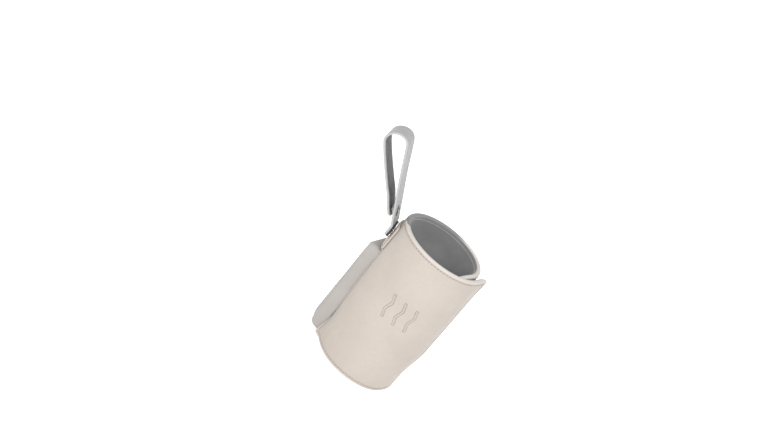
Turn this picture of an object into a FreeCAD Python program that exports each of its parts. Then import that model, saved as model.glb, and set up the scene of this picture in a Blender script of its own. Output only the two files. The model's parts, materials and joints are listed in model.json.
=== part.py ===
"""A travel bottle warmer: a padded leather wrap that rolls round a baby bottle and closes with hook tape,
a soft pouch on its side that holds the heater's controller, and a hanging strap with two snap fasteners.

The sleeve stands on the XY plane with its axis on Z. The wrap is a two-centre spiral: its back half is
centred on the axis, and both its inner end and its front flap are centred on a point one spiral_shift away,
so that the flap lies over the inner end with an even gap for the hook and loop tapes. Every angle is
measured about Z from +X. The pouch and the controller are drawn in axes turned by pouch_turn, where x runs
outwards from the sleeve's axis, y runs round the sleeve towards the front, and z runs up. The strap is drawn
in the XZ plane by its distance along the front leg, from the fold, and its distance across it, outwards.
"""

import FreeCAD
import Part
import os
import Sketcher

from FreeCAD import Placement, Rotation, Vector

SIZES = (
    ("sleeve_height", 145.0, "height of the wrap"),
    ("sleeve_radius", 42.0, "outer radius of the back half"),
    ("wall", 5.0, "whole thickness of the padded wrap"),
    ("spiral_shift", 3.5, "distance of the second centre from the axis"),
    ("spiral_turn", 10.0, "angle of the second centre, degrees"),
    ("inner_end", -60.0, "angle at which the inner end stops, degrees"),
    ("hinge_turn", 206.0, "angle of the seam that the flap folds at, degrees"),
    ("hinge_gap", 0.5, "angle left open on each side of the seam, degrees"),
    ("flap_turn", 342.0, "angle at which the flap leaves its arc, degrees"),
    ("flap_flare", 13.0, "length of the flap's straight end"),
    ("leather", 1.0, "thickness of the cover"),
    ("lining", 0.6, "thickness of the lining"),
    ("film", 0.25, "thickness of the heating film, and of its trace"),
    ("layer_gap", 0.05, "room left between two layers"),
    ("hem", 4.0, "height of the turned hems"),
    ("hem_inset", 0.4, "distance of the turned hems from the cover's edges"),
    ("hem_turn", 5.0, "angle that the turned end hems cover, degrees"),
    ("tape", 0.8, "thickness of one fastening tape"),
    ("tape_low", 12.0, "lower end of the tapes"),
    ("tape_high", 133.0, "upper end of the tapes"),
    ("hook_start", 306.0, "angle at which the hook tape starts, degrees"),
    ("hook_stop", 335.0, "angle at which the hook tape stops, degrees"),
    ("loop_start", -58.0, "angle at which the loop tape starts, degrees"),
    ("loop_stop", 2.0, "angle at which the loop tape stops, degrees"),
    ("film_low", 12.0, "lower edge of the heating film"),
    ("trace_width", 2.0, "height of one run of the heating trace"),
    ("trace_step", 11.0, "distance from one run to the next"),
    ("trace_start", 20.0, "angle at which the runs start, degrees"),
    ("trace_stop", 178.0, "angle at which the runs stop, degrees"),
    ("trace_link", 3.0, "angle that a link between two runs covers, degrees"),
    ("band_width", 24.0, "width of the elastic band under the bottle"),
    ("band_thick", 1.2, "thickness of the elastic band"),
    ("band_lift", 1.0, "height of the band above the table"),
    ("band_rise", 15.0, "height of the band's sewn ends"),
    ("band_radius", 36.3, "outer radius of the band's sewn ends"),
    ("pouch_turn", 163.0, "angle that the pouch faces, degrees"),
    ("pouch_face", 50.8, "distance from the axis to the pouch's face"),
    ("pouch_foot", 34.5, "distance from the axis at which the pouch's sides start"),
    ("pouch_width", 40.0, "width of the pouch"),
    ("pouch_height", 105.0, "height of the pouch's upper edge"),
    ("pouch_round", 5.0, "radius of the pouch's corners"),
    ("case_width", 32.0, "width of the controller case"),
    ("case_height", 64.0, "height of the controller case"),
    ("case_low", 14.0, "height of the controller case above the table"),
    ("case_back", 42.6, "distance from the axis to the back of the case"),
    ("case_split", 45.2, "distance from the axis to the joint of the case"),
    ("case_front", 49.2, "distance from the axis to the front of the case"),
    ("case_wall", 1.0, "wall of the controller case"),
    ("case_round", 3.0, "radius of the case's corners"),
    ("case_room", 0.3, "room round the button and round the window"),
    ("boss_inset", 4.2, "distance from the case's end to a screw"),
    ("boss_radius", 2.4, "radius of a screw boss"),
    ("screw_radius", 0.9, "radius of a screw's shank"),
    ("head_radius", 1.7, "radius of a screw's head"),
    ("board_back", 43.7, "distance from the axis to the back of the board"),
    ("board_thick", 1.0, "thickness of the circuit board"),
    ("board_width", 28.0, "width of the circuit board"),
    ("board_inset", 8.0, "distance from the case's end to the board"),
    ("display_width", 20.0, "width of the display's opening"),
    ("display_height", 12.0, "height of the display's opening"),
    ("display_middle", 60.0, "height of the display's middle"),
    ("window_rim", 1.8, "overlap of the window on the case"),
    ("window_thick", 1.0, "thickness of the window"),
    ("button_radius", 4.4, "radius of the button's top"),
    ("button_height", 42.0, "height of the button's middle"),
    ("button_proud", 0.5, "how far the button stands out of the pouch"),
    ("button_travel", 0.6, "stroke of the button"),
    ("socket_height", 30.5, "height of the charging socket's middle"),
    ("socket_length", 9.0, "long side of the charging socket"),
    ("socket_depth", 7.3, "depth of the charging socket"),
    ("socket_thick", 3.2, "short side of the charging socket"),
    ("plug_length", 13.0, "long side of the pouch's opening for a plug"),
    ("plug_thick", 6.2, "short side of the pouch's opening for a plug"),
    ("lead_height", 70.0, "height at which the heater lead leaves the film"),
    ("lead_width", 8.0, "width of the heater lead"),
    ("lead_thick", 1.0, "thickness of the heater lead"),
    ("sensor_height", 40.0, "height of the temperature sensor"),
    ("sensor_size", 4.0, "side of the temperature sensor"),
    ("sensor_thick", 1.4, "thickness of the temperature sensor"),
    ("strap_width", 25.0, "width of the hanging strap"),
    ("strap", 2.2, "thickness of the hanging strap"),
    ("strap_lean", 27.2, "lean of the strap away from the sleeve, degrees"),
    ("fold_height", 131.0, "height at which the strap folds"),
    ("fold_room", 1.5, "length left free on each side of a fold in the strap"),
    ("tab_low", 117.0, "height of the strap's lower tip"),
    ("leg", 77.5, "length of the strap's front leg"),
    ("crown", 8.8, "middle radius of the strap's crown"),
    ("closing", 14.3, "angle between the strap's two legs, degrees"),
    ("free_bend", 60.0, "radius at which the free leg turns back to the front leg"),
    ("free_tip", 15.6, "straight end of the free leg"),
    ("strap_round", 12.0, "corner radius of the strap's two ends"),
    ("snap_up", 11.8, "distance from the fold to the loop snap"),
    ("snap_height", 124.0, "height of the base snap"),
    ("snap_gap", 3.2, "room between the two leathers that a snap joins"),
    ("snap_cap", 5.0, "radius of a snap's cap"),
    ("snap_cap_thick", 1.1, "thickness of a snap's cap"),
    ("snap_shank", 1.0, "radius of a snap's shank"),
    ("snap_stud", 1.9, "radius of a snap's stud"),
    ("snap_ring", 4.3, "outer radius of a snap's socket"),
    ("snap_plate", 0.6, "thickness of a snap's plates"),
    ("snap_room", 0.3, "room between a stud and its socket"),
    ("washer", 1.1, "thickness of the leather washer under the base snap"),
    ("washer_radius", 6.5, "radius of the leather washer"),
)

doc = FreeCAD.newDocument("bottle_warmer")
sheet = doc.addObject("Spreadsheet::Sheet", "sizes")
for row, (alias, value, note) in enumerate(SIZES, start=1):
    sheet.set(f"A{row}", note)
    sheet.set(f"B{row}", str(value))
    sheet.setAlias(f"B{row}", alias)
doc.recompute()

# Expressions that several pieces share. Each is text, so that what it sizes stays bound to the sheet.
SECOND_X = "sizes.spiral_shift * cos(sizes.spiral_turn)"
SECOND_Y = "sizes.spiral_shift * sin(sizes.spiral_turn)"
INNER_RADIUS = "sizes.sleeve_radius - sizes.spiral_shift"
FLAP_RADIUS = "sizes.sleeve_radius + sizes.spiral_shift"
FOAM_TOP = "sizes.leather + sizes.layer_gap"
LINING_TOP = "sizes.wall - sizes.lining"
FILM_TOP = f"{LINING_TOP} - sizes.layer_gap - sizes.film"
TRACE_TOP = f"{FILM_TOP} - sizes.film"
FOAM_BOTTOM = f"{TRACE_TOP} - sizes.layer_gap"
TAB_MIDDLE = "sizes.sleeve_radius + sizes.washer + sizes.snap_gap + sizes.strap / 2"
ROUND_ROOM = "sizes.fold_room / sizes.crown * 180 / pi"
FREE_LEG = (
    "(sizes.crown * (1 + cos(sizes.closing)) - sizes.free_bend * (1 - cos(sizes.closing))"
    " - sizes.strap - sizes.snap_gap) / sin(sizes.closing)"
)
CASE_TOP = "sizes.case_low + sizes.case_height"
BOARD_FRONT = "sizes.board_back + sizes.board_thick"
CASE_CEILING = "sizes.case_front - sizes.case_wall"

sub_parts = []


def number(alias):
    """A driving dimension's value."""
    return float(sheet.get(alias))


def new_body(name, place=None):
    """A body with the node's name, kept in the list of sub-parts."""
    body = doc.addObject("PartDesign::Body", name)
    body.Label = name
    if place is not None:
        body.Placement = place
    sub_parts.append(body)
    return body


def turned_body(name):
    """A body drawn in the pouch's axes."""
    body = new_body(name)
    body.setExpression("Placement.Rotation.Angle", "sizes.pouch_turn * 1deg")
    return body


def new_sketch(body, plane, offset):
    """A sketch on one of the body's own planes, moved along the plane's normal by an expression."""
    sketch = body.newObject("Sketcher::SketchObject", body.Name + "_sketch")
    support = next(item for item in body.Origin.OriginFeatures if item.Role == plane)
    sketch.AttachmentSupport = [(support, "")]
    sketch.MapMode = "FlatFace"
    sketch.setExpression("AttachmentOffset.Base.z", f"({offset}) * 1mm")
    return sketch


def bind(sketch, constraint, expression):
    """Adds a constraint and binds its value to an expression."""
    index = sketch.addConstraint(constraint)
    sketch.setExpression(f"Constraints[{index}]", expression)


def evaluate(body, expression):
    """The value of an expression that a body or its sketches are bound to."""
    return float(body.evalExpression(expression))


def number_of(expression):
    """The value of an expression in the sheet's dimensions, for a placement set once."""
    return evaluate(sub_parts[0], expression)


def outline(body, plane, corners, offset="0"):
    """A sketch of one closed outline. A corner is (x, y) and, where an arc leads on to the next corner,
    (x, y, centre x, centre y, turn), with a turn of 1 for anticlockwise and -1 for clockwise."""
    sketch = new_sketch(body, plane, offset)
    places = [Vector(evaluate(body, corner[0]), evaluate(body, corner[1]), 0) for corner in corners]
    ends = []
    for index, corner in enumerate(corners):
        start = places[index]
        stop = places[(index + 1) % len(places)]
        if len(corner) == 2:
            sketch.addGeometry(Part.LineSegment(start, stop))
            ends.append((1, 2))
            continue
        centre = Vector(evaluate(body, corner[2]), evaluate(body, corner[3]), 0)
        circle = Part.Circle(centre, Vector(0, 0, 1), centre.distanceToPoint(start))
        first, last = (start, stop) if corner[4] > 0 else (stop, start)
        sketch.addGeometry(Part.ArcOfCircle(circle, circle.parameter(first), circle.parameter(last)))
        ends.append((1, 2) if corner[4] > 0 else (2, 1))
    for index, corner in enumerate(corners):
        following = (index + 1) % len(corners)
        sketch.addConstraint(
            Sketcher.Constraint("Coincident", index, ends[index][1], following, ends[following][0])
        )
        start = ends[index][0]
        bind(sketch, Sketcher.Constraint("DistanceX", -1, 1, index, start, places[index].x), corner[0])
        bind(sketch, Sketcher.Constraint("DistanceY", -1, 1, index, start, places[index].y), corner[1])
        if len(corner) == 2:
            continue
        chord = places[following] - places[index]
        centre = sketch.Geometry[index].Center
        if abs(chord.y) > abs(chord.x):
            bind(sketch, Sketcher.Constraint("DistanceX", -1, 1, index, 3, centre.x), corner[2])
        else:
            bind(sketch, Sketcher.Constraint("DistanceY", -1, 1, index, 3, centre.y), corner[3])
    return sketch


def circles(body, plane, rings, offset="0"):
    """A sketch of circles, each (x, y, radius)."""
    sketch = new_sketch(body, plane, offset)
    for index, (x, y, radius) in enumerate(rings):
        place = Vector(evaluate(body, x), evaluate(body, y), 0)
        size = evaluate(body, radius)
        sketch.addGeometry(Part.Circle(place, Vector(0, 0, 1), size))
        bind(sketch, Sketcher.Constraint("DistanceX", -1, 1, index, 3, place.x), x)
        bind(sketch, Sketcher.Constraint("DistanceY", -1, 1, index, 3, place.y), y)
        bind(sketch, Sketcher.Constraint("Radius", index, size), radius)
    return sketch


def rectangle(left, right, low, high):
    """The corners of a rectangle."""
    return [(left, low), (right, low), (right, high), (left, high)]


def round_rectangle(half_width, low, high, radius):
    """The corners of a rectangle with round corners, with its middle on the sketch's upright axis."""
    side = f"({half_width}) - ({radius})"
    bottom = f"({low}) + ({radius})"
    top = f"({high}) - ({radius})"
    return [
        (f"-({side})", low),
        (side, low, side, bottom, 1),
        (half_width, bottom),
        (half_width, top, side, top, 1),
        (side, high),
        (f"-({side})", high, f"-({side})", top, 1),
        (f"-({half_width})", top),
        (f"-({half_width})", bottom, f"-({side})", bottom, 1),
    ]


def pad(body, sketch, length, midplane=False, backwards=False):
    """Adds the sketch's outline as a solid of some length."""
    feature = body.newObject("PartDesign::Pad", body.Name + "_pad")
    feature.Profile = sketch
    feature.setExpression("Length", f"({length}) * 1mm")
    feature.Midplane = midplane
    feature.Reversed = backwards
    doc.recompute()
    return feature


def pocket(body, sketch, length, outwards=False):
    """Cuts the sketch's outline to some depth, against the plane's normal or along it."""
    before = body.Shape.Volume
    feature = body.newObject("PartDesign::Pocket", body.Name + "_pocket")
    feature.Profile = sketch
    feature.setExpression("Length", f"({length}) * 1mm")
    feature.Reversed = outwards
    doc.recompute()
    if not body.Shape.Volume < before - 1e-6:
        raise RuntimeError(f"a pocket in {body.Label} cuts nothing")
    return feature


def revolve(body, corners):
    """Turns an outline of radius and height once round the body's upright axis."""
    sketch = outline(body, "XZ_Plane", corners)
    feature = body.newObject("PartDesign::Revolution", body.Name + "_turned")
    feature.Profile = sketch
    feature.ReferenceAxis = (sketch, ["V_Axis"])
    feature.Angle = 360
    doc.recompute()
    return feature


def fillet(body, radius, wanted):
    """Rounds the edges whose middle point passes a test."""
    base = body.Tip
    chosen = []
    for index, edge in enumerate(base.Shape.Edges, start=1):
        if wanted(edge, edge.CenterOfMass):
            chosen.append(f"Edge{index}")
    if not chosen:
        raise RuntimeError(f"no edge of {body.Label} is to be rounded")
    feature = body.newObject("PartDesign::Fillet", body.Name + "_fillet")
    feature.Base = (base, chosen)
    feature.setExpression("Radius", f"({radius}) * 1mm")
    doc.recompute()
    return feature


def repeat(body, feature, direction, length, count):
    """Repeats a feature along one of the body's own axes, over a length that an expression gives."""
    pattern = body.newObject("PartDesign::LinearPattern", body.Name + "_repeated")
    pattern.Originals = [feature]
    axis = next(item for item in body.Origin.OriginFeatures if item.Role == direction)
    pattern.Direction = (axis, [""])
    pattern.setExpression("Length", f"({length}) * 1mm")
    pattern.Occurrences = count
    body.Tip = pattern
    doc.recompute()
    return pattern


def polar(radius, angle, x="0", y="0"):
    """A point at a radius and an angle from a centre, as a pair of expressions."""
    return f"({x}) + ({radius}) * cos({angle})", f"({y}) + ({radius}) * sin({angle})"


def about_second(radius, angle):
    """A point at a radius and an angle from the spiral's second centre."""
    return polar(radius, angle, SECOND_X, SECOND_Y)


def sector(outer, inner, start, stop, x="0", y="0"):
    """The corners of a piece of a ring."""
    return [
        (*polar(outer, start, x, y), x, y, 1),
        polar(outer, stop, x, y),
        (*polar(inner, stop, x, y), x, y, -1),
        polar(inner, start, x, y),
    ]


def back_corners(top, bottom, start, stop):
    """The corners of a layer of the back panel, between two depths under its outer face."""
    inner = [f"{INNER_RADIUS} - ({depth})" for depth in (top, bottom)]
    back = [f"sizes.sleeve_radius - ({depth})" for depth in (top, bottom)]
    front = [f"{FLAP_RADIUS} - ({depth})" for depth in (top, bottom)]
    left = "sizes.spiral_turn + 180"
    return [
        (*about_second(inner[0], start), SECOND_X, SECOND_Y, 1),
        (*polar(back[0], "sizes.spiral_turn"), "0", "0", 1),
        (*polar(back[0], left), SECOND_X, SECOND_Y, 1),
        about_second(front[0], stop),
        (*about_second(front[1], stop), SECOND_X, SECOND_Y, -1),
        (*polar(back[1], left), "0", "0", -1),
        (*polar(back[1], "sizes.spiral_turn"), SECOND_X, SECOND_Y, -1),
        about_second(inner[1], start),
    ]


def flap_corners(top, bottom, start, flare):
    """The corners of a layer of the front flap, between two depths under its outer face."""
    radii = [f"{FLAP_RADIUS} - ({depth})" for depth in (top, bottom)]
    turn = "sizes.flap_turn"
    ends = []
    for radius in radii:
        x, y = about_second(radius, turn)
        ends.append((f"{x} - ({flare}) * sin({turn})", f"{y} + ({flare}) * cos({turn})"))
    return [
        (*about_second(radii[0], start), SECOND_X, SECOND_Y, 1),
        about_second(radii[0], turn),
        ends[0],
        ends[1],
        (*about_second(radii[1], turn), SECOND_X, SECOND_Y, -1),
        about_second(radii[1], start),
    ]


def pouch_point(x, y):
    """A point given in the pouch's axes, in the sleeve's own axes."""
    turn = "sizes.pouch_turn"
    return (
        f"({x}) * cos({turn}) - ({y}) * sin({turn})",
        f"({x}) * sin({turn}) + ({y}) * cos({turn})",
    )


def turned_rectangle(left, right, half_width):
    """A rectangle that lies in the pouch's axes, drawn in the sleeve's own axes."""
    return [
        pouch_point(left, f"-({half_width})"),
        pouch_point(right, f"-({half_width})"),
        pouch_point(right, half_width),
        pouch_point(left, half_width),
    ]


def strap_point(along, across):
    """A point of the strap, from its distance along the front leg and its distance across it, outwards."""
    return f"-({across})", along


def crown_point(radius, turned):
    """A point of the strap's crown, after the strap has turned by an angle from the front leg."""
    return strap_point(f"sizes.leg + ({radius}) * sin({turned})",
                       f"sizes.crown - ({radius}) * cos({turned})")


def leaning_body(name):
    """A body that stands at the strap's fold and leans with the strap: x inwards, z along the front leg."""
    body = new_body(name, Placement(Vector(), Rotation(Vector(0, -1, 0), number("strap_lean"))))
    body.setExpression("Placement.Rotation.Angle", "sizes.strap_lean * 1deg")
    body.setExpression("Placement.Base.x", f"-({TAB_MIDDLE}) * 1mm")
    body.setExpression("Placement.Base.z", "sizes.fold_height * 1mm")
    return body


def make_back_panel():
    """The back panel's cover, padding, film, trace, lining and hems, one round the other."""
    stop = "sizes.hinge_turn - sizes.hinge_gap"
    film_height = "sizes.sleeve_height - 2 * sizes.film_low"
    cover = new_body("back_cover")
    corners = back_corners("0", "sizes.leather", "sizes.inner_end", stop)
    pad(cover, outline(cover, "XY_Plane", corners), "sizes.sleeve_height")
    cut_lead_slot(cover)
    hole = circles(cover, "YZ_Plane", [("0", "sizes.snap_height", "sizes.snap_shank + sizes.layer_gap")],
                   "-(sizes.sleeve_radius - sizes.wall)")
    pocket(cover, hole, "2 * sizes.wall")

    padding = new_body("back_padding")
    start = "sizes.inner_end + sizes.hem_turn + 1"
    corners = back_corners(FOAM_TOP, FOAM_BOTTOM, start, stop)
    pad(padding, outline(padding, "XY_Plane", corners, "sizes.hem + sizes.layer_gap"),
        "sizes.sleeve_height - 2 * (sizes.hem + sizes.layer_gap)")
    cut_lead_slot(padding)
    cut_sensor_recess(padding)
    recess = circles(padding, "YZ_Plane", [("0", "sizes.snap_height", "sizes.snap_cap")],
                     "-(sizes.sleeve_radius - sizes.leather - 2 * sizes.snap_plate)")
    pocket(padding, recess, "sizes.wall")

    film = new_body("heating_film")
    corners = back_corners(FILM_TOP, f"{FILM_TOP} + sizes.film", start, stop)
    pad(film, outline(film, "XY_Plane", corners, "sizes.film_low"), film_height)

    make_trace()

    lining = new_body("back_lining")
    corners = back_corners(LINING_TOP, "sizes.wall", "sizes.inner_end", stop)
    pad(lining, outline(lining, "XY_Plane", corners), "sizes.sleeve_height")

    hem_bottom = f"{LINING_TOP} - sizes.layer_gap"
    end_stop = "sizes.inner_end + sizes.hem_turn"
    hems = (("back_hem_bottom", "sizes.hem_inset"), ("back_hem_top", "sizes.sleeve_height - sizes.hem"))
    for name, low in hems:
        hem = new_body(name)
        corners = back_corners(FOAM_TOP, hem_bottom, "sizes.inner_end", stop)
        pad(hem, outline(hem, "XY_Plane", corners, low), "sizes.hem - sizes.hem_inset")
    end = new_body("back_hem_end")
    corners = sector(f"{INNER_RADIUS} - ({FOAM_TOP})", f"{INNER_RADIUS} - ({hem_bottom})",
                     "sizes.inner_end", end_stop, SECOND_X, SECOND_Y)
    pad(end, outline(end, "XY_Plane", corners, "sizes.hem + sizes.layer_gap"),
        "sizes.sleeve_height - 2 * (sizes.hem + sizes.layer_gap)")


def cut_lead_slot(body):
    """The slot that the heater lead passes through."""
    corners = turned_rectangle("sizes.sleeve_radius - 2 * sizes.wall", "sizes.sleeve_radius + sizes.wall",
                               "sizes.lead_width / 2 + sizes.case_room")
    top = "sizes.lead_height + sizes.lead_thick + sizes.case_room"
    pocket(body, outline(body, "XY_Plane", corners, top), "sizes.lead_thick + 2 * sizes.case_room")


def cut_sensor_recess(body):
    """The recess in the padding that the temperature sensor lies in."""
    half = "sizes.sensor_size / 2 + sizes.case_room"
    floor = f"sizes.sleeve_radius - ({TRACE_TOP}) + sizes.sensor_thick + sizes.case_room"
    corners = turned_rectangle("sizes.sleeve_radius - sizes.wall", floor, half)
    top = f"sizes.sensor_height + {half}"
    pocket(body, outline(body, "XY_Plane", corners, top), f"2 * ({half})")


def make_trace():
    """The heating trace on the film's outer face: level runs, joined at alternate ends."""
    trace = new_body("heating_trace")
    outer = f"sizes.sleeve_radius - ({TRACE_TOP})"
    inner = f"sizes.sleeve_radius - ({TRACE_TOP} + sizes.film)"
    low = "sizes.film_low + sizes.trace_step / 2"
    runs = 10
    sketch = outline(trace, "XY_Plane", sector(outer, inner, "sizes.trace_start", "sizes.trace_stop"), low)
    run = pad(trace, sketch, "sizes.trace_width")
    repeat(trace, run, "Z_Axis", f"sizes.trace_step * {runs - 1}", runs)
    ends = (
        ("sizes.trace_start", "sizes.trace_start + sizes.trace_link", low, runs // 2),
        ("sizes.trace_stop - sizes.trace_link", "sizes.trace_stop", f"{low} + sizes.trace_step",
         runs // 2 - 1),
    )
    for start, stop, height, count in ends:
        sketch = outline(trace, "XY_Plane", sector(outer, inner, start, stop), height)
        link = pad(trace, sketch, "sizes.trace_step + sizes.trace_width")
        repeat(trace, link, "Z_Axis", f"2 * sizes.trace_step * {count - 1}", count)


def make_flap():
    """The front flap's cover, padding, lining and hems."""
    start = "sizes.hinge_turn + sizes.hinge_gap"
    hem_bottom = f"{LINING_TOP} - sizes.layer_gap"
    between = "sizes.sleeve_height - 2 * (sizes.hem + sizes.layer_gap)"
    layers = (
        ("flap_cover", "0", "sizes.leather", "sizes.flap_flare", "0", "sizes.sleeve_height"),
        ("flap_padding", FOAM_TOP, hem_bottom, "sizes.flap_flare - sizes.hem - sizes.layer_gap",
         "sizes.hem + sizes.layer_gap", between),
        ("flap_lining", LINING_TOP, "sizes.wall", "sizes.flap_flare", "0", "sizes.sleeve_height"),
        ("flap_hem_bottom", FOAM_TOP, hem_bottom, "sizes.flap_flare", "sizes.hem_inset",
         "sizes.hem - sizes.hem_inset"),
        ("flap_hem_top", FOAM_TOP, hem_bottom, "sizes.flap_flare", "sizes.sleeve_height - sizes.hem",
         "sizes.hem - sizes.hem_inset"),
    )
    for name, top, bottom, flare, low, height in layers:
        body = new_body(name)
        pad(body, outline(body, "XY_Plane", flap_corners(top, bottom, start, flare), low), height)

    end = new_body("flap_hem_end")
    whole = flap_corners(FOAM_TOP, hem_bottom, start, "sizes.flap_flare")
    short = flap_corners(FOAM_TOP, hem_bottom, start, "sizes.flap_flare - sizes.hem")
    corners = [short[2], whole[2], whole[3], short[3]]
    pad(end, outline(end, "XY_Plane", corners, "sizes.hem + sizes.layer_gap"), between)


def make_tapes():
    """The hook tape inside the flap and the loop tape on the back panel's inner end."""
    length = "sizes.tape_high - sizes.tape_low"
    hook = new_body("hook_tape")
    face = f"{FLAP_RADIUS} - sizes.wall"
    corners = sector(face, f"{face} - sizes.tape", "sizes.hook_start", "sizes.hook_stop",
                     SECOND_X, SECOND_Y)
    pad(hook, outline(hook, "XY_Plane", corners, "sizes.tape_low"), length)
    loop = new_body("loop_tape")
    corners = sector(f"{INNER_RADIUS} + sizes.tape", INNER_RADIUS, "sizes.loop_start", "sizes.loop_stop",
                     SECOND_X, SECOND_Y)
    pad(loop, outline(loop, "XY_Plane", corners, "sizes.tape_low"), length)


def make_base_band():
    """The elastic band that the bottle stands on, with its two ends turned up inside the sleeve."""
    band = new_body("base_band")
    half = "sizes.band_width / 2"
    spans = [f"sqrt(({radius})^2 - ({half})^2)"
             for radius in ("sizes.band_radius", "sizes.band_radius - sizes.band_thick")]
    corners = [
        (f"-({spans[0]})", f"-({half})"),
        (spans[0], f"-({half})", "0", "0", 1),
        (spans[0], half),
        (f"-({spans[0]})", half, "0", "0", 1),
    ]
    pad(band, outline(band, "XY_Plane", corners, "sizes.band_lift"), "sizes.band_thick")
    for sign in ("", "-"):
        turn = 1 if sign == "" else -1
        ends = [
            (f"{sign}({spans[0]})", f"-({half})", "0", "0", turn),
            (f"{sign}({spans[0]})", half),
            (f"{sign}({spans[1]})", half, "0", "0", -turn),
            (f"{sign}({spans[1]})", f"-({half})"),
        ]
        pad(band, outline(band, "XY_Plane", ends, "sizes.band_lift"), "sizes.band_rise")


def make_pouch():
    """The soft pouch on the sleeve's side, with openings for the window, the button and a plug."""
    pouch = turned_body("pouch_cover")
    tube = "sizes.sleeve_radius + sizes.layer_gap"

    def shell(inset):
        half = f"sizes.pouch_width / 2 - ({inset})"
        face = f"sizes.pouch_face - ({inset})"
        radius = f"sizes.pouch_round - ({inset})"
        bend = f"{face} - ({radius})"
        side = f"{half} - ({radius})"
        return [
            ("sizes.pouch_foot", f"-({half})"),
            (bend, f"-({half})", bend, f"-({side})", 1),
            (face, f"-({side})"),
            (face, side, bend, side, 1),
            (bend, half),
            ("sizes.pouch_foot", half),
        ]

    pad(pouch, outline(pouch, "XY_Plane", shell("0")), "sizes.pouch_height")
    top = "sizes.pouch_height - sizes.leather"
    pocket(pouch, outline(pouch, "XY_Plane", shell("sizes.leather"), top),
           "sizes.pouch_height - 2 * sizes.leather")
    pocket(pouch, circles(pouch, "XY_Plane", [("0", "0", tube)], "sizes.pouch_height"),
           "sizes.pouch_height")
    half = "sizes.display_width / 2 + sizes.window_rim + sizes.case_room"
    tall = "sizes.display_height / 2 + sizes.window_rim + sizes.case_room"
    window = round_rectangle(half, f"sizes.display_middle - ({tall})", f"sizes.display_middle + ({tall})",
                             "sizes.window_rim")
    pocket(pouch, outline(pouch, "YZ_Plane", window, "sizes.pouch_face"), "1.5 * sizes.leather")
    hole = [("0", "sizes.button_height", "sizes.button_radius + 2 * sizes.case_room")]
    pocket(pouch, circles(pouch, "YZ_Plane", hole, "sizes.pouch_face"), "1.5 * sizes.leather")
    middle = f"{BOARD_FRONT} + sizes.socket_thick / 2"
    slot = rectangle(f"{middle} - sizes.plug_thick / 2", f"{middle} + sizes.plug_thick / 2",
                     "-(sizes.pouch_width / 2 + sizes.leather)", "-(sizes.pouch_width / 2 - 4 * sizes.leather)")
    pocket(pouch, outline(pouch, "XY_Plane", slot, "sizes.socket_height + sizes.plug_length / 2"),
           "sizes.plug_length")


def screw_places(radius):
    """The circles of the two screws, one at each end of the case."""
    return [("0", "sizes.case_low + sizes.boss_inset", radius),
            ("0", f"{CASE_TOP} - sizes.boss_inset", radius)]


def case_outline(body, inset, offset):
    """The case's outline, some way inside its outer sides."""
    corners = round_rectangle(f"sizes.case_width / 2 - ({inset})", f"sizes.case_low + ({inset})",
                              f"{CASE_TOP} - ({inset})", f"sizes.case_round - ({inset})")
    return outline(body, "YZ_Plane", corners, offset)


def cut_socket_notch(half):
    """The opening in one half of the case for the charging socket's mouth."""
    notch = rectangle(f"{BOARD_FRONT} - sizes.case_room",
                      f"{BOARD_FRONT} + sizes.socket_thick + sizes.case_room",
                      "-(sizes.case_width / 2 + sizes.case_wall)",
                      "-(sizes.case_width / 2 - 2 * sizes.case_wall)")
    top = "sizes.socket_height + sizes.socket_length / 2 + sizes.case_room"
    pocket(half, outline(half, "XY_Plane", notch, top), "sizes.socket_length + 2 * sizes.case_room")


def make_case_back():
    """The rear half of the controller's case, with its screw bosses and a slot for the heater's lead."""
    back = turned_body("case_back")
    pad(back, case_outline(back, "0", "sizes.case_back"), "sizes.case_split - sizes.case_back")
    pocket(back, case_outline(back, "sizes.case_wall", "sizes.case_split"),
           "sizes.case_split - sizes.case_back - sizes.case_wall")
    pad(back, circles(back, "YZ_Plane", screw_places("sizes.boss_radius"),
                      "sizes.case_back + sizes.case_wall / 2"),
        "sizes.case_split - sizes.case_back - sizes.case_wall / 2")
    pocket(back, circles(back, "YZ_Plane", screw_places("sizes.screw_radius + sizes.layer_gap"),
                         "sizes.case_split"), "sizes.case_split - sizes.case_back")
    pocket(back, circles(back, "YZ_Plane", screw_places("sizes.head_radius + sizes.layer_gap"),
                         "sizes.case_back + sizes.case_wall"), "sizes.case_wall")
    lead = rectangle("sizes.case_back - sizes.case_wall", "sizes.case_back + sizes.case_wall + sizes.layer_gap",
                     "-(sizes.lead_width / 2 + sizes.case_room)", "sizes.lead_width / 2 + sizes.case_room")
    pocket(back, outline(back, "XY_Plane", lead, "sizes.lead_height + sizes.lead_thick + sizes.case_room"),
           "sizes.lead_thick + 2 * sizes.case_room")
    cut_socket_notch(back)


def make_case_front():
    """The front half of the controller's case, open for the display, the button and the socket."""
    front = turned_body("case_front")
    depth = "sizes.case_front - sizes.case_split"
    pad(front, case_outline(front, "0", "sizes.case_split"), depth)
    pocket(front, case_outline(front, "sizes.case_wall", "sizes.case_split"), f"{depth} - sizes.case_wall",
           outwards=True)
    pad(front, circles(front, "YZ_Plane", screw_places("sizes.boss_radius"), "sizes.case_split"),
        f"{depth} - sizes.case_wall / 2")
    pocket(front, circles(front, "YZ_Plane", screw_places("sizes.screw_radius + sizes.layer_gap"),
                          "sizes.case_split"), f"{depth} - sizes.case_wall", outwards=True)
    display = rectangle("-sizes.display_width / 2", "sizes.display_width / 2",
                        "sizes.display_middle - sizes.display_height / 2",
                        "sizes.display_middle + sizes.display_height / 2")
    pocket(front, outline(front, "YZ_Plane", display, "sizes.case_front"), "2 * sizes.case_wall")
    hole = [("0", "sizes.button_height", "sizes.button_radius + sizes.case_room")]
    pocket(front, circles(front, "YZ_Plane", hole, "sizes.case_front"), "2 * sizes.case_wall")
    cut_socket_notch(front)


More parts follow.
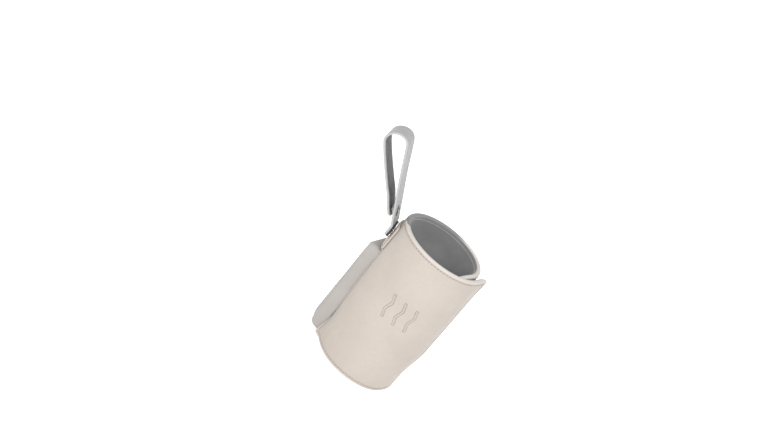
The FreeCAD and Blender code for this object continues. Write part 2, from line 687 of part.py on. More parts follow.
def make_case_screws():
    """The two screws that hold the case together."""
    screws = turned_body("case_screws")
    reach = "sizes.case_front - 2 * sizes.case_wall - sizes.case_back"
    for place in screw_places("sizes.head_radius"):
        pad(screws, circles(screws, "YZ_Plane", [place], "sizes.case_back"), "0.8 * sizes.case_wall")
    for place in screw_places("sizes.screw_radius"):
        pad(screws, circles(screws, "YZ_Plane", [place], "sizes.case_back"), reach)


def make_electronics():
    """The board with its display, switch and charging socket, the window, and the heater's lead."""
    board = turned_body("circuit_board")
    sketch = outline(board, "YZ_Plane", rectangle("-sizes.board_width / 2", "sizes.board_width / 2",
                                                  "sizes.case_low + sizes.board_inset",
                                                  f"{CASE_TOP} - sizes.board_inset"), "sizes.board_back")
    pad(board, sketch, "sizes.board_thick")

    module = turned_body("display_module")
    half = "sizes.display_width / 2 + sizes.case_room"
    tall = "sizes.display_height / 2 + sizes.case_room"
    sketch = outline(module, "YZ_Plane", rectangle(f"-({half})", half, f"sizes.display_middle - ({tall})",
                                                   f"sizes.display_middle + ({tall})"), BOARD_FRONT)
    pad(module, sketch, f"{CASE_CEILING} - ({BOARD_FRONT}) - sizes.layer_gap")

    window = turned_body("display_window")
    half = "sizes.display_width / 2 + sizes.window_rim"
    tall = "sizes.display_height / 2 + sizes.window_rim"
    corners = round_rectangle(half, f"sizes.display_middle - ({tall})", f"sizes.display_middle + ({tall})",
                              "sizes.window_rim")
    pad(window, outline(window, "YZ_Plane", corners, "sizes.case_front + sizes.layer_gap"),
        "sizes.window_thick")

    switch = turned_body("button_switch")
    side = "1.4 * sizes.snap_stud"
    corners = rectangle(f"-({side})", side, f"sizes.button_height - ({side})",
                        f"sizes.button_height + ({side})")
    pad(switch, outline(switch, "YZ_Plane", corners, BOARD_FRONT), "sizes.case_wall")

    socket = turned_body("charging_socket")
    side = "-(sizes.case_width / 2 - sizes.layer_gap)"
    corners = rectangle(BOARD_FRONT, f"{BOARD_FRONT} + sizes.socket_thick", side,
                        f"{side} + sizes.socket_depth")
    low = "sizes.socket_height - sizes.socket_length / 2"
    pad(socket, outline(socket, "XY_Plane", corners, low), "sizes.socket_length")
    shell = "sizes.case_room"
    inside = rectangle(f"{BOARD_FRONT} + {shell}", f"{BOARD_FRONT} + sizes.socket_thick - {shell}",
                       f"{side} - {shell}", f"{side} + sizes.socket_depth - 2 * {shell}")
    high = "sizes.socket_height + sizes.socket_length / 2"
    pocket(socket, outline(socket, "XY_Plane", inside, f"{high} - {shell}"),
           f"sizes.socket_length - 2 * {shell}")

    tongue = turned_body("socket_tongue")
    middle = f"{BOARD_FRONT} + sizes.socket_thick / 2"
    corners = rectangle(f"{middle} - sizes.case_room", f"{middle} + sizes.case_room",
                        f"{side} + sizes.case_wall", f"{side} + sizes.socket_depth - 2 * {shell}")
    pad(tongue, outline(tongue, "XY_Plane", corners, f"{low} + sizes.case_wall"),
        "sizes.socket_length - 2 * sizes.case_wall")

    lead = turned_body("heater_lead")
    start = f"sizes.sleeve_radius - ({TRACE_TOP})"
    corners = rectangle(start, "sizes.board_back", "-sizes.lead_width / 2", "sizes.lead_width / 2")
    pad(lead, outline(lead, "XY_Plane", corners, "sizes.lead_height"), "sizes.lead_thick")

    sensor = turned_body("temperature_sensor")
    corners = rectangle(start, f"{start} + sizes.sensor_thick", "-sizes.sensor_size / 2",
                        "sizes.sensor_size / 2")
    pad(sensor, outline(sensor, "XY_Plane", corners, "sizes.sensor_height - sizes.sensor_size / 2"),
        "sizes.sensor_size")


def make_button():
    """The power button: a round top, a flange that keeps it in the case, and a stem over the switch."""
    button = turned_body("power_button")
    top = "sizes.pouch_face + sizes.button_proud"
    flange_top = f"{CASE_CEILING} - sizes.layer_gap"
    flange_low = f"{flange_top} - sizes.case_wall / 2"
    stem_low = f"{BOARD_FRONT} + sizes.case_wall + sizes.button_travel + sizes.layer_gap"
    for radius, low, high in (("sizes.button_radius", flange_low, top),
                              ("sizes.button_radius + sizes.case_wall", flange_low, flange_top),
                              ("sizes.snap_shank", stem_low, flange_top)):
        sketch = circles(button, "YZ_Plane", [("0", "sizes.button_height", radius)], low)
        pad(button, sketch, f"({high}) - ({low})")


def make_strap():
    """The hanging strap in three lengths: the tab, the front leg with half the crown, and the free leg."""
    half = "sizes.strap / 2"
    outer = f"sizes.crown + {half}"
    inner = f"sizes.crown - {half}"
    centre = strap_point("sizes.leg", "sizes.crown")

    tab = new_body("strap_tab")
    corners = rectangle(f"-({TAB_MIDDLE}) - {half}", f"-({TAB_MIDDLE}) + {half}", "sizes.tab_low",
                        "sizes.fold_height - sizes.fold_room")
    pad(tab, outline(tab, "XZ_Plane", corners), "sizes.strap_width", midplane=True)
    round_tip(tab, number("tab_low"))
    cut_shank_hole(tab, "sizes.snap_height", "-sizes.sleeve_radius")

    leg = leaning_body("strap_front_leg")
    turned = f"90 - {ROUND_ROOM}"
    corners = [
        strap_point("sizes.fold_room", f"-{half}"),
        (*strap_point("sizes.leg", f"-{half}"), *centre, 1),
        crown_point(outer, turned),
        (*crown_point(inner, turned), *centre, -1),
        strap_point("sizes.leg", half),
        strap_point("sizes.fold_room", half),
    ]
    pad(leg, outline(leg, "XZ_Plane", corners), "sizes.strap_width", midplane=True)
    cut_shank_hole(leg, "sizes.snap_up", "sizes.strap")

    free = leaning_body("strap_free_leg")
    first = f"90 + {ROUND_ROOM}"
    last = "180 + sizes.closing"

    def down_free_leg(radius, length):
        x, z = crown_point(radius, last)
        return f"{x} + ({length}) * sin(sizes.closing)", f"{z} - ({length}) * cos(sizes.closing)"

    bend_centre = down_free_leg("sizes.crown + sizes.free_bend", FREE_LEG)
    bend_end = (
        f"sizes.leg - sizes.crown * sin(sizes.closing) - {FREE_LEG} * cos(sizes.closing)"
        " - sizes.free_bend * sin(sizes.closing)"
    )
    tip = f"{bend_end} - sizes.free_tip"
    across = "sizes.strap + sizes.snap_gap"
    corners = [
        (*crown_point(outer, first), *centre, 1),
        crown_point(outer, last),
        (*down_free_leg(outer, FREE_LEG), *bend_centre, -1),
        strap_point(bend_end, f"{across} + {half}"),
        strap_point(tip, f"{across} + {half}"),
        strap_point(tip, f"{across} - {half}"),
        (*strap_point(bend_end, f"{across} - {half}"), *bend_centre, 1),
        down_free_leg(inner, FREE_LEG),
        (*crown_point(inner, last), *centre, -1),
        crown_point(inner, first),
    ]
    pad(free, outline(free, "XZ_Plane", corners), "sizes.strap_width", midplane=True)
    round_tip(free, evaluate(free, tip))
    cut_shank_hole(free, "sizes.snap_up", "0")


def round_tip(body, height):
    """Rounds the two corners of a strap's end, at a height in the body's own axes."""
    edge_y = number("strap_width") / 2
    fillet(body, "sizes.strap_round",
           lambda edge, middle: abs(middle.z - height) < 0.01 and abs(abs(middle.y) - edge_y) < 0.01)


def cut_shank_hole(body, height, offset):
    """The hole for a snap's shank, cut inwards from a plane across the body's own x axis."""
    ring = ("0", height, "sizes.snap_shank + sizes.layer_gap")
    pocket(body, circles(body, "YZ_Plane", [ring], offset), "2.5 * sizes.wall")


def make_snap(name, place, depth, plate_radius, plate_thick, domed):
    """A snap fastener: cap and socket on the outer leather, stud and back plate on what it closes on.
    Its heights count outwards from the middle of the outer leather; depth is what the stud is fixed to."""
    inner_face = "-sizes.strap / 2"
    stud_face = f"{inner_face} - sizes.snap_gap"
    back_face = f"{stud_face} - ({depth})"

    stud = new_body(f"{name}_snap_stud", place)
    top = f"{stud_face} + 4 * sizes.snap_plate"
    neck = "sizes.snap_stud"
    rim = "sizes.snap_ring - sizes.snap_room"
    revolve(stud, [
        ("0", stud_face), (rim, stud_face), (rim, f"{stud_face} + sizes.snap_plate"),
        (neck, f"{stud_face} + sizes.snap_plate"), (neck, f"{top} - sizes.snap_room"),
        (f"{neck} - sizes.snap_room", top), ("0", top),
    ])

    back = new_body(f"{name}_snap_back", place)
    shank = "sizes.snap_shank"
    low = f"{back_face} - ({plate_thick})"
    if domed:
        rise = f"({plate_thick}) - sizes.snap_room"
        sphere = f"(({plate_radius})^2 + ({rise})^2) / (2 * ({rise}))"
        dome = [("0", low, "0", f"{low} + ({sphere})", 1), (plate_radius, f"{back_face} - sizes.snap_room")]
    else:
        dome = [("0", low), (plate_radius, low)]
    revolve(back, dome + [(plate_radius, back_face), (shank, back_face), (shank, stud_face),
                          ("0", stud_face)])

    socket = new_body(f"{name}_snap_socket", place)
    bore = f"{neck} + sizes.snap_room"
    mouth = f"{stud_face} + sizes.snap_plate + sizes.snap_room"
    revolve(socket, [
        (bore, mouth), ("sizes.snap_ring - sizes.snap_room", mouth),
        ("sizes.snap_ring", f"{mouth} + sizes.snap_room"), ("sizes.snap_ring", inner_face),
        (bore, inner_face),
    ])

    cap = new_body(f"{name}_snap_cap", place)
    face = "sizes.strap / 2"
    top = f"{face} + sizes.snap_cap_thick"
    rise = "(sizes.snap_cap_thick - sizes.snap_room)"
    sphere = f"(sizes.snap_cap^2 + {rise}^2) / (2 * {rise})"
    revolve(cap, [
        ("0", inner_face), (shank, inner_face), (shank, face), ("sizes.snap_cap", face),
        ("sizes.snap_cap", f"{face} + sizes.snap_room", "0", f"{top} - ({sphere})", 1), ("0", top),
    ])


def make_washer():
    """The leather washer under the base snap, flat outside and hollowed to fit the sleeve."""
    washer = new_body("snap_washer")
    place = ("0", "sizes.snap_height")
    disc = circles(washer, "YZ_Plane", [(*place, "sizes.washer_radius")],
                   "-(sizes.sleeve_radius + sizes.washer)")
    pad(washer, disc, "sizes.wall")
    pocket(washer, circles(washer, "XY_Plane", [("0", "0", "sizes.sleeve_radius + sizes.layer_gap")],
                           "sizes.sleeve_height"), "sizes.sleeve_height")
    pocket(washer, circles(washer, "YZ_Plane", [(*place, "sizes.snap_shank + sizes.layer_gap")],
                           "-(sizes.sleeve_radius - sizes.leather)"), "sizes.wall")


def make_snaps():
    """The base snap, which fastens the strap to the sleeve, and the loop snap, which closes the strap."""
    outwards = Rotation(Vector(0, 1, 0), -90)
    base = Placement(Vector(-number_of(TAB_MIDDLE), 0, number("snap_height")), outwards)
    base_depth = "sizes.washer + sizes.leather + sizes.snap_room + sizes.layer_gap"
    make_snap("base", base, base_depth, "sizes.snap_cap - sizes.snap_plate", "sizes.snap_plate", False)
    fold = Placement(Vector(-number_of(TAB_MIDDLE), 0, number("fold_height")),
                     Rotation(Vector(0, -1, 0), number("strap_lean")))
    across = number("strap") + number("snap_gap")
    loop = fold.multiply(Placement(Vector(-across, 0, number("snap_up")), outwards))
    make_snap("loop", loop, "sizes.strap", "sizes.snap_cap", "sizes.snap_cap_thick", True)


make_back_panel()
make_flap()
make_tapes()
make_base_band()
make_pouch()
make_case_back()
make_case_front()
make_case_screws()
make_electronics()
make_button()
make_washer()
make_strap()
make_snaps()
doc.recompute()

for item in doc.Objects:
    if "Invalid" in item.State or "Error" in item.State:
        raise RuntimeError(f"{item.Label}: {item.State}")
os.makedirs("parts", exist_ok=True)
for body in sub_parts:
    shape = body.Shape
    if shape.isNull() or not shape.isValid() or not shape.Solids:
        raise RuntimeError(f"{body.Label} is not a sound solid")
    shape.exportStep(f"parts/{body.Label}.step")
    print(f"{body.Label}: {len(shape.Solids)} solid(s), {shape.Volume / 1000:.2f} cm3")
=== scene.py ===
import json
import math

import bmesh
import bpy
import numpy as np
from mathutils import Matrix, Vector


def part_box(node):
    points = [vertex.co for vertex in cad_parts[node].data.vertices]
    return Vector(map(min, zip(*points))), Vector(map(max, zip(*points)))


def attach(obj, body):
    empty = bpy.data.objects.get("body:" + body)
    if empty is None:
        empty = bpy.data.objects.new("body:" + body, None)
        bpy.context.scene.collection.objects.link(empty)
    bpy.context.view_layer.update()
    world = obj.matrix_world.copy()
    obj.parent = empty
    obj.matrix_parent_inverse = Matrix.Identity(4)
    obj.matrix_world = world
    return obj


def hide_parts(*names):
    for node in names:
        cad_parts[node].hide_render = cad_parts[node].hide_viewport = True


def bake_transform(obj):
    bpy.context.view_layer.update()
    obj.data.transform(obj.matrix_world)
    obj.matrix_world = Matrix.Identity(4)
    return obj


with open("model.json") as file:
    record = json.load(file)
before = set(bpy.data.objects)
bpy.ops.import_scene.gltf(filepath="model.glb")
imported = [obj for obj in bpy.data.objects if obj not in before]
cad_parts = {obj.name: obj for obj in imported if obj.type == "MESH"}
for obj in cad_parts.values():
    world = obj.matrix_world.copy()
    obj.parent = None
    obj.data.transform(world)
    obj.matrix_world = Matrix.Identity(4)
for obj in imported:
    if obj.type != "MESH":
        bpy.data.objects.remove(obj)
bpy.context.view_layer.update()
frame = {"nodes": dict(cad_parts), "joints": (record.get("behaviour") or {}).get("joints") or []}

# Lengths are worked out in millimetres, as the part was designed, and scaled when a mesh is made.
MM = 0.001


def mm_box(node):
    low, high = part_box(node)
    return np.array(low) / MM, np.array(high) / MM


# The wrap is a spiral: its back half turns about the axis, and the rest about a second centre, SHIFT away.
# Its angles are in degrees, and its depths are measured inwards from its outer face.
HEIGHT = mm_box("back_cover")[1][2]
RADIUS = -mm_box("back_cover")[0][0]
WALL = 5.0
SHIFT, TURN = 3.5, 10.0
SECOND = SHIFT * np.array((math.cos(math.radians(TURN)), math.sin(math.radians(TURN))))
INNER_END, BACK_END = -60.0, 202.0
FLARE = 13.0
FLAP_START, HINGE, FLAP_TURN = 192.0, 206.0, 342.0
FLAP_END = FLAP_TURN + math.degrees(FLARE / (RADIUS + SHIFT))
STITCH_INSET, STITCH_DEPTH = 3.4, 0.28
FLAP_STITCH_DEPTH, PIPING_DEPTH, PIPING_RADIUS, TRACE_DEPTH, TRACE_RADIUS = 0.22, 5.05, 0.42, 3.60, 0.14
JOINTS = {joint["name"]: joint for joint in frame["joints"]}


# ---------------------------------------------------------------- materials

def material(name, colour, roughness=0.5, **sockets):
    made = bpy.data.materials.new(name)
    made.use_nodes = True
    shader = made.node_tree.nodes["Principled BSDF"]
    shader.inputs["Base Color"].default_value = (*colour, 1)
    shader.inputs["Roughness"].default_value = roughness
    for socket, value in sockets.items():
        shader.inputs[socket.replace("_", " ")].default_value = value
    made.diffuse_color = (*colour, 1)
    return made


class Nodes:
    """Short calls for building a material's node tree."""

    def __init__(self, made):
        self.tree = made.node_tree
        self.shader = self.tree.nodes["Principled BSDF"]

    def add(self, kind, inputs=(), **settings):
        node = self.tree.nodes.new(kind)
        for key, value in settings.items():
            setattr(node, key, value)
        for key, value in dict(inputs).items():
            if isinstance(value, bpy.types.NodeSocket):
                self.tree.links.new(value, node.inputs[key])
            else:
                node.inputs[key].default_value = value
        return node

    def coordinates(self, kind="Object"):
        return self.add("ShaderNodeTexCoord").outputs[kind]

    def noise(self, scale, detail=3.0, roughness=0.5, vector=None):
        return self.add("ShaderNodeTexNoise", {
            "Vector": vector or self.coordinates(), "Scale": scale, "Detail": detail, "Roughness": roughness,
        }).outputs["Fac"]

    def ramp(self, value, low, high, start=0.0, stop=1.0):
        return self.add("ShaderNodeMapRange", {
            "Value": value, "From Min": low, "From Max": high, "To Min": start, "To Max": stop,
        }, interpolation_type="SMOOTHSTEP").outputs["Result"]

    def maths(self, operation, first, second):
        return self.add("ShaderNodeMath", {0: first, 1: second}, operation=operation).outputs[0]

    def mix(self, factor, first, second):
        node = self.add("ShaderNodeMix", data_type="RGBA")
        for index, value in ((0, factor), (6, first), (7, second)):
            if isinstance(value, bpy.types.NodeSocket):
                self.tree.links.new(value, node.inputs[index])
            elif index == 0:
                node.inputs[index].default_value = value
            else:
                node.inputs[index].default_value = (*value, 1)
        return node.outputs[2]

    def bump(self, height, distance, strength=1.0, normal=None):
        inputs = {"Height": height, "Distance": distance, "Strength": strength}
        if normal is not None:
            inputs["Normal"] = normal
        return self.add("ShaderNodeBump", inputs).outputs["Normal"]

    def attribute(self, name):
        return self.add("ShaderNodeAttribute", attribute_name=name).outputs["Fac"]

    def finish(self, **links):
        for socket, value in links.items():
            self.tree.links.new(value, self.shader.inputs[socket.replace("_", " ")])


# The steam lines, in metres: their spacing, height, half width and sway, and their waves in radians a metre.
STEAM_PITCH, STEAM_TALL, STEAM_WIDE = 0.0125, 0.024, 0.0012
STEAM_SWAY, STEAM_WAVES = 0.0010, 400.0


def steam_lines(nodes, across, up):
    """Three upright wavy lines, pressed into the piece: 1 on a line and 0 off it."""
    place = nodes.add("ShaderNodeSeparateXYZ", {0: nodes.coordinates("UV")}).outputs
    rise = nodes.maths("SUBTRACT", place["Y"], up)
    wave = nodes.maths("SINE", nodes.maths("MULTIPLY", rise, STEAM_WAVES), 0.0)
    wave = nodes.maths("MULTIPLY", wave, STEAM_SWAY)
    side = nodes.maths("SUBTRACT", nodes.maths("SUBTRACT", place["X"], across), wave)
    nearest = nodes.maths("SNAP", nodes.maths("ADD", side, STEAM_PITCH / 2), STEAM_PITCH)
    row = nodes.maths("SUBTRACT", side, nearest)
    line = nodes.ramp(nodes.maths("ABSOLUTE", row, 0.0), STEAM_WIDE * 0.6, STEAM_WIDE * 1.3, 1.0, 0.0)
    tall = nodes.ramp(nodes.maths("ABSOLUTE", rise, 0.0), STEAM_TALL / 2, STEAM_TALL / 2 + 0.0008, 1.0, 0.0)
    wide = nodes.ramp(nodes.maths("ABSOLUTE", side, 0.0), 1.45 * STEAM_PITCH, 1.5 * STEAM_PITCH, 1.0, 0.0)
    return nodes.maths("MULTIPLY", line, nodes.maths("MULTIPLY", tall, wide))


def leather(name, colour, dark, edge_colour=None, grain=1100.0, roughness=0.55, far_edge=None,
            pressed=None, painted_loop_shade=None):
    """Synthetic leather: pebbled grain, cloudy colour, and paler or darker turned edges.
    far_edge colours the far edges, partly with painted shade, and painted_loop_shade paints the face
    near-black as painted shade, where the mesh's own attributes say so.
    pressed is the middle, in metres across and up the piece, of three wavy steam lines."""
    made = material(name, colour, roughness, Specular_IOR_Level=0.35, Sheen_Weight=0.08, Sheen_Roughness=0.4)
    nodes = Nodes(made)
    clouds = nodes.ramp(nodes.noise(28.0, 3.0), 0.35, 0.68)
    mottle = nodes.ramp(nodes.noise(420.0, 2.0), 0.3, 0.7, 0.0, 0.35)
    tone = nodes.mix(clouds, dark, colour)
    tone = nodes.mix(mottle, tone, tuple(0.94 * part for part in dark))
    if edge_colour is not None:
        rim = nodes.ramp(nodes.attribute("edge"), 1.1, 2.3, 1.0, 0.0)
        if far_edge is not None:
            edge_colour = nodes.mix(nodes.attribute("far"), edge_colour, far_edge)
        tone = nodes.mix(rim, tone, edge_colour)
    # Painted shade: near-black on the loop's inside, where the mesh's attribute marks it.
    if painted_loop_shade is not None:
        tone = nodes.mix(nodes.attribute("painted_loop_shade"), tone, painted_loop_shade)
    cells = nodes.add("ShaderNodeTexVoronoi", {"Vector": nodes.coordinates(), "Scale": grain},
                      feature="SMOOTH_F1").outputs["Distance"]
    fine = nodes.noise(2600.0, 4.0, 0.6)
    height = nodes.maths("ADD", nodes.maths("MULTIPLY", cells, 0.8), nodes.maths("MULTIPLY", fine, 0.5))
    relief = None
    if pressed is not None:
        mark = steam_lines(nodes, *pressed)
        tone = nodes.mix(nodes.maths("MULTIPLY", mark, 0.12), tone, tuple(0.86 * part for part in dark))
        relief = nodes.bump(nodes.maths("SUBTRACT", 1.0, mark), 0.0010, 1.0)
    grain_bump = nodes.bump(height, 0.00008, 0.55, relief)
    rough = nodes.ramp(nodes.noise(160.0, 3.0), 0.3, 0.7, roughness - 0.07, roughness + 0.08)
    nodes.finish(Base_Color=tone, Normal=grain_bump, Roughness=rough)
    return made


def cloth(name, colour, dark, pitch=0.0011, roughness=0.8, sheen=0.3):
    """Woven cloth, its threads laid along the mesh's own coordinates in metres."""
    made = material(name, colour, roughness, Specular_IOR_Level=0.25,
                    Sheen_Weight=sheen, Sheen_Roughness=0.45)
    nodes = Nodes(made)
    place = nodes.coordinates("UV")
    waves = []
    for direction in ("X", "Y"):
        waves.append(nodes.add("ShaderNodeTexWave", {
            "Vector": place, "Scale": 0.314 / pitch, "Distortion": 0.6, "Detail": 1.0, "Detail Scale": 1.0,
        }, bands_direction=direction).outputs["Fac"])
    weave = nodes.maths("MULTIPLY", waves[0], waves[1])
    clouds = nodes.ramp(nodes.noise(45.0, 3.0), 0.3, 0.7)
    tone = nodes.mix(clouds, dark, colour)
    # Painted highlight and shade: the weave's high points, where the bump rises, are painted lighter than
    # the hollows between threads.
    tone = nodes.mix(nodes.maths("MULTIPLY", weave, 0.25), tone, tuple(min(1.0, 1.25 * p) for p in colour))
    fuzz = nodes.noise(2200.0, 3.0, 0.6)
    height = nodes.maths("ADD", weave, nodes.maths("MULTIPLY", fuzz, 0.4))
    nodes.finish(Base_Color=tone, Normal=nodes.bump(height, 0.0001, 0.5))
    return made


def plastic(name, colour, roughness=0.5, texture=900.0, **sockets):
    """Moulded plastic with a fine spark texture and faint handling marks."""
    made = material(name, colour, roughness, **sockets)
    nodes = Nodes(made)
    marks = nodes.ramp(nodes.noise(90.0, 4.0), 0.35, 0.7)
    tone = nodes.mix(marks, tuple(0.9 * part for part in colour), colour)
    rough = nodes.ramp(nodes.noise(240.0, 3.0), 0.3, 0.7, roughness - 0.06, roughness + 0.08)
    spark = nodes.bump(nodes.noise(texture, 2.0), 0.00004, 0.4)
    nodes.finish(Base_Color=tone, Roughness=rough, Normal=spark)
    return made


def metal(name, colour, roughness=0.22, brushed=500.0):
    """Plated metal with fine scratches."""
    made = material(name, colour, roughness, Metallic=1.0)
    nodes = Nodes(made)
    scratches = nodes.noise(brushed, 6.0, 0.7)
    rough = nodes.ramp(scratches, 0.3, 0.75, roughness - 0.08, roughness + 0.15)
    tone = nodes.mix(nodes.ramp(nodes.noise(220.0, 3.0), 0.35, 0.7), tuple(0.8 * p for p in colour), colour)
    nodes.finish(Base_Color=tone, Roughness=rough, Normal=nodes.bump(scratches, 0.00002, 0.3))
    return made


def thread(name, colour):
    """Twisted sewing thread."""
    made = material(name, colour, 0.6, Sheen_Weight=0.2)
    nodes = Nodes(made)
    twist = nodes.noise(3000.0, 2.0)
    # Painted shade: the twist's grooves, low in the bump, are painted darker.
    tone = nodes.mix(nodes.ramp(twist, 0.3, 0.7), tuple(0.75 * p for p in colour), colour)
    nodes.finish(Base_Color=tone, Normal=nodes.bump(twist, 0.0001, 0.6))
    return made


BEIGE = (0.425, 0.380, 0.338)
BEIGE_DARK = (0.402, 0.357, 0.316)
CREAM = (0.500, 0.470, 0.440)
mat_flap = leather("flap_leather", BEIGE, BEIGE_DARK, CREAM, pressed=(0.0660, 0.084))
# far_edge: the far part of the upper hem is painted dark grey, partly as the lining's grey and partly as
# painted shade.
mat_back = leather("back_leather", BEIGE, BEIGE_DARK, CREAM, far_edge=(0.20, 0.20, 0.20))
# The pouch is the sleeve's beige leather painted darker and greyer: painted shade on a face that the sleeve
# keeps from the key light.
mat_pouch_painted_shade = leather("pouch_leather_painted_shade", (0.358, 0.337, 0.318), (0.334, 0.313, 0.294))
mat_patch = leather("patch_leather", BEIGE, BEIGE_DARK)
# The strap's near-black colour on the loop's inside is painted shade.
mat_strap = leather("grey_leather", (0.352, 0.352, 0.350), (0.312, 0.312, 0.311), (0.37, 0.37, 0.368),
                    grain=1500.0, roughness=0.48, painted_loop_shade=(0.072, 0.072, 0.074))
mat_lining = cloth("grey_lining", (0.232, 0.232, 0.233), (0.188, 0.188, 0.190))
mat_elastic = cloth("grey_elastic", (0.500, 0.500, 0.505), (0.400, 0.400, 0.405), pitch=0.0016)
mat_binding = cloth("grey_binding", (0.34, 0.34, 0.33), (0.28, 0.28, 0.27), pitch=0.0008)
# The beige thread is painted much darker than the leather: partly its own colour, partly painted shade for
# the stitch holes.
mat_thread = thread("beige_thread", (0.230, 0.195, 0.165))
mat_grey_thread = thread("grey_thread", (0.250, 0.250, 0.250))
mat_snap = metal("nickel", (0.40, 0.40, 0.41))
# Near-black nickel: painted shade in the snaps' grooves and under their rims.
mat_snap_painted_shade = metal("nickel_painted_shade", (0.045, 0.045, 0.05), 0.4)
mat_steel = metal("steel", (0.58, 0.58, 0.60), 0.32)
mat_case = plastic("case_plastic", (0.45, 0.42, 0.39), 0.5)
mat_button = plastic("button_plastic", (0.50, 0.47, 0.44), 0.42)
mat_black = plastic("black_plastic", (0.018, 0.018, 0.020), 0.4)
mat_window = plastic("window_plastic", (0.010, 0.010, 0.013), 0.09, texture=60.0, Coat_Weight=0.4,
                     Coat_Roughness=0.05)
# Near-black: painted shade for the gap behind the strap's tab.
mat_felt_painted_shade = cloth("dark_felt_painted_shade", (0.040, 0.040, 0.042), (0.025, 0.025, 0.027), pitch=0.0006, sheen=0.1)
mat_film = plastic("amber_film", (0.48, 0.22, 0.05), 0.3)
mat_board = plastic("board_green", (0.02, 0.14, 0.06), 0.45)
mat_trace = metal("trace_metal", (0.70, 0.66, 0.60), 0.35)


def tape_material(name, colour, hooks):
    """Hook or loop tape: rows of small knobs, or a fuzzy pile."""
    made = material(name, colour, 0.9, Sheen_Weight=0.3)
    nodes = Nodes(made)
    if hooks:
        knobs = nodes.add("ShaderNodeTexVoronoi", {"Vector": nodes.coordinates(), "Scale": 900.0,
                                                    "Randomness": 0.15}).outputs["Distance"]
        height = nodes.ramp(knobs, 0.1, 0.5, 1.0, 0.0)
        distance = 0.0005
    else:
        height = nodes.noise(1800.0, 6.0, 0.75)
        distance = 0.0006
    # Painted highlight and shade: the knobs' and pile's high points are painted lighter and the hollows
    # darker, following the bump.
    tone = nodes.mix(height, tuple(0.6 * p for p in colour), tuple(min(1.0, 1.2 * p) for p in colour))
    nodes.finish(Base_Color=tone, Normal=nodes.bump(height, distance, 0.8))
    return made


mat_hook = tape_material("hook_tape_nylon", (0.52, 0.48, 0.43), True)
mat_loop = tape_material("loop_tape_nylon", (0.56, 0.52, 0.47), False)


# ---------------------------------------------------------------- meshes

def smooth_step(value, low, high):
    part = np.clip((np.asarray(value, float) - low) / (high - low), 0, 1)
    return part * part * (3 - 2 * part)


def bell(value, middle, width):
    return np.exp(-((np.asarray(value, float) - middle) / width) ** 2)


def make_object(name, points, faces, made, attributes=None, coordinates=None, sharp=False):
    """A mesh object from points in millimetres."""
    mesh = bpy.data.meshes.new(name)
    mesh.from_pydata([tuple(point) for point in np.asarray(points) * MM], [], faces)
    for key, values in (attributes or {}).items():
        layer = mesh.attributes.new(key, "FLOAT", "POINT")
        layer.data.foreach_set("value", np.asarray(values, np.float32))
    if coordinates is not None:
        layer = mesh.uv_layers.new(name="UVMap")
        corners = np.zeros(len(mesh.loops), np.int32)
        mesh.loops.foreach_get("vertex_index", corners)
        layer.data.foreach_set("uv", (np.asarray(coordinates)[corners] * MM).astype(np.float32).ravel())
    mesh.validate()
    shown = bpy.data.objects.new(name, mesh)
    bpy.context.scene.collection.objects.link(shown)
    mesh.materials.append(made)
    if not sharp:
        mesh.shade_smooth()
    outwards(mesh)
    return shown


def outwards(mesh):
    """Turns every face to look outwards."""
    work = bmesh.new()
    work.from_mesh(mesh)
    bmesh.ops.recalc_face_normals(work, faces=work.faces)
    work.to_mesh(mesh)
    work.free()


def travelled(line):
    """The distance along a line of points, at each of them."""
    return np.concatenate([[0], np.cumsum(np.linalg.norm(np.diff(line, axis=0), axis=1))])


def loft_faces(rings, count, closed=False):
    """Faces between neighbouring rings of count points, and from the last ring to the first if closed."""
    faces = []
    for ring in range(rings if closed else rings - 1):
        low, high = ring * count, (ring + 1) % rings * count
        faces += [(low + k, low + (k + 1) % count, high + (k + 1) % count, high + k) for k in range(count)]
    return faces


def grid_faces(index):
    """The faces of one grid of points, from the grid of their numbers."""
    corners = np.stack([index[:-1, :-1], index[1:, :-1], index[1:, 1:], index[:-1, 1:]], -1)
    return [tuple(face) for face in corners.reshape(-1, 4).tolist()]


def spindle_faces(rings, count):
    """Faces of a turned form: its first point, rings of count points, and its last point."""
    faces = [tuple(1 + v for v in face) for face in loft_faces(rings, count)]
    last = 1 + rings * count
    for k in range(count):
        n = (k + 1) % count
        faces += [(0, 1 + n, 1 + k), (last - count + k, last - count + n, last)]
    return faces


def two_faced(name, layers, made, flat, attributes=None):
    """A band of two grids of points, one over the other, with a wall round their border."""
    rows, columns = layers[0].shape[:2]
    total = rows * columns
    index = np.arange(total).reshape(rows, columns)
    border = [index[:, 0], index[-1, 1:], index[-2::-1, -1], index[0, -2:0:-1]]
    ring = np.concatenate(border).tolist()
    wall = [(a, b, b + total, a + total) for a, b in zip(ring, ring[1:] + ring[:1])]
    points = np.concatenate([layer.reshape(-1, 3) for layer in layers])
    flat = flat.reshape(-1, 2)
    return make_object(name, points, grid_faces(index) + grid_faces(index.T + total) + wall, made,
                       attributes, np.concatenate([flat, flat]))


def noise_field(points, scale, seed=0.0):
    """Smooth repeatable waves, between -1 and 1, over points in millimetres."""
    x, y, z = (points[..., axis] / scale for axis in range(3))
    total = np.sin(1.7 * x + 0.9 * y + 1.3 * z + seed) + np.sin(-1.1 * x + 2.3 * y + 0.7 * z + 2.1 * seed)
    total += np.sin(0.6 * x - 1.4 * y + 2.9 * z + 3.7 * seed) + 0.5 * np.sin(3.1 * x + 2.7 * y - 1.9 * z)
    return total / 3.5


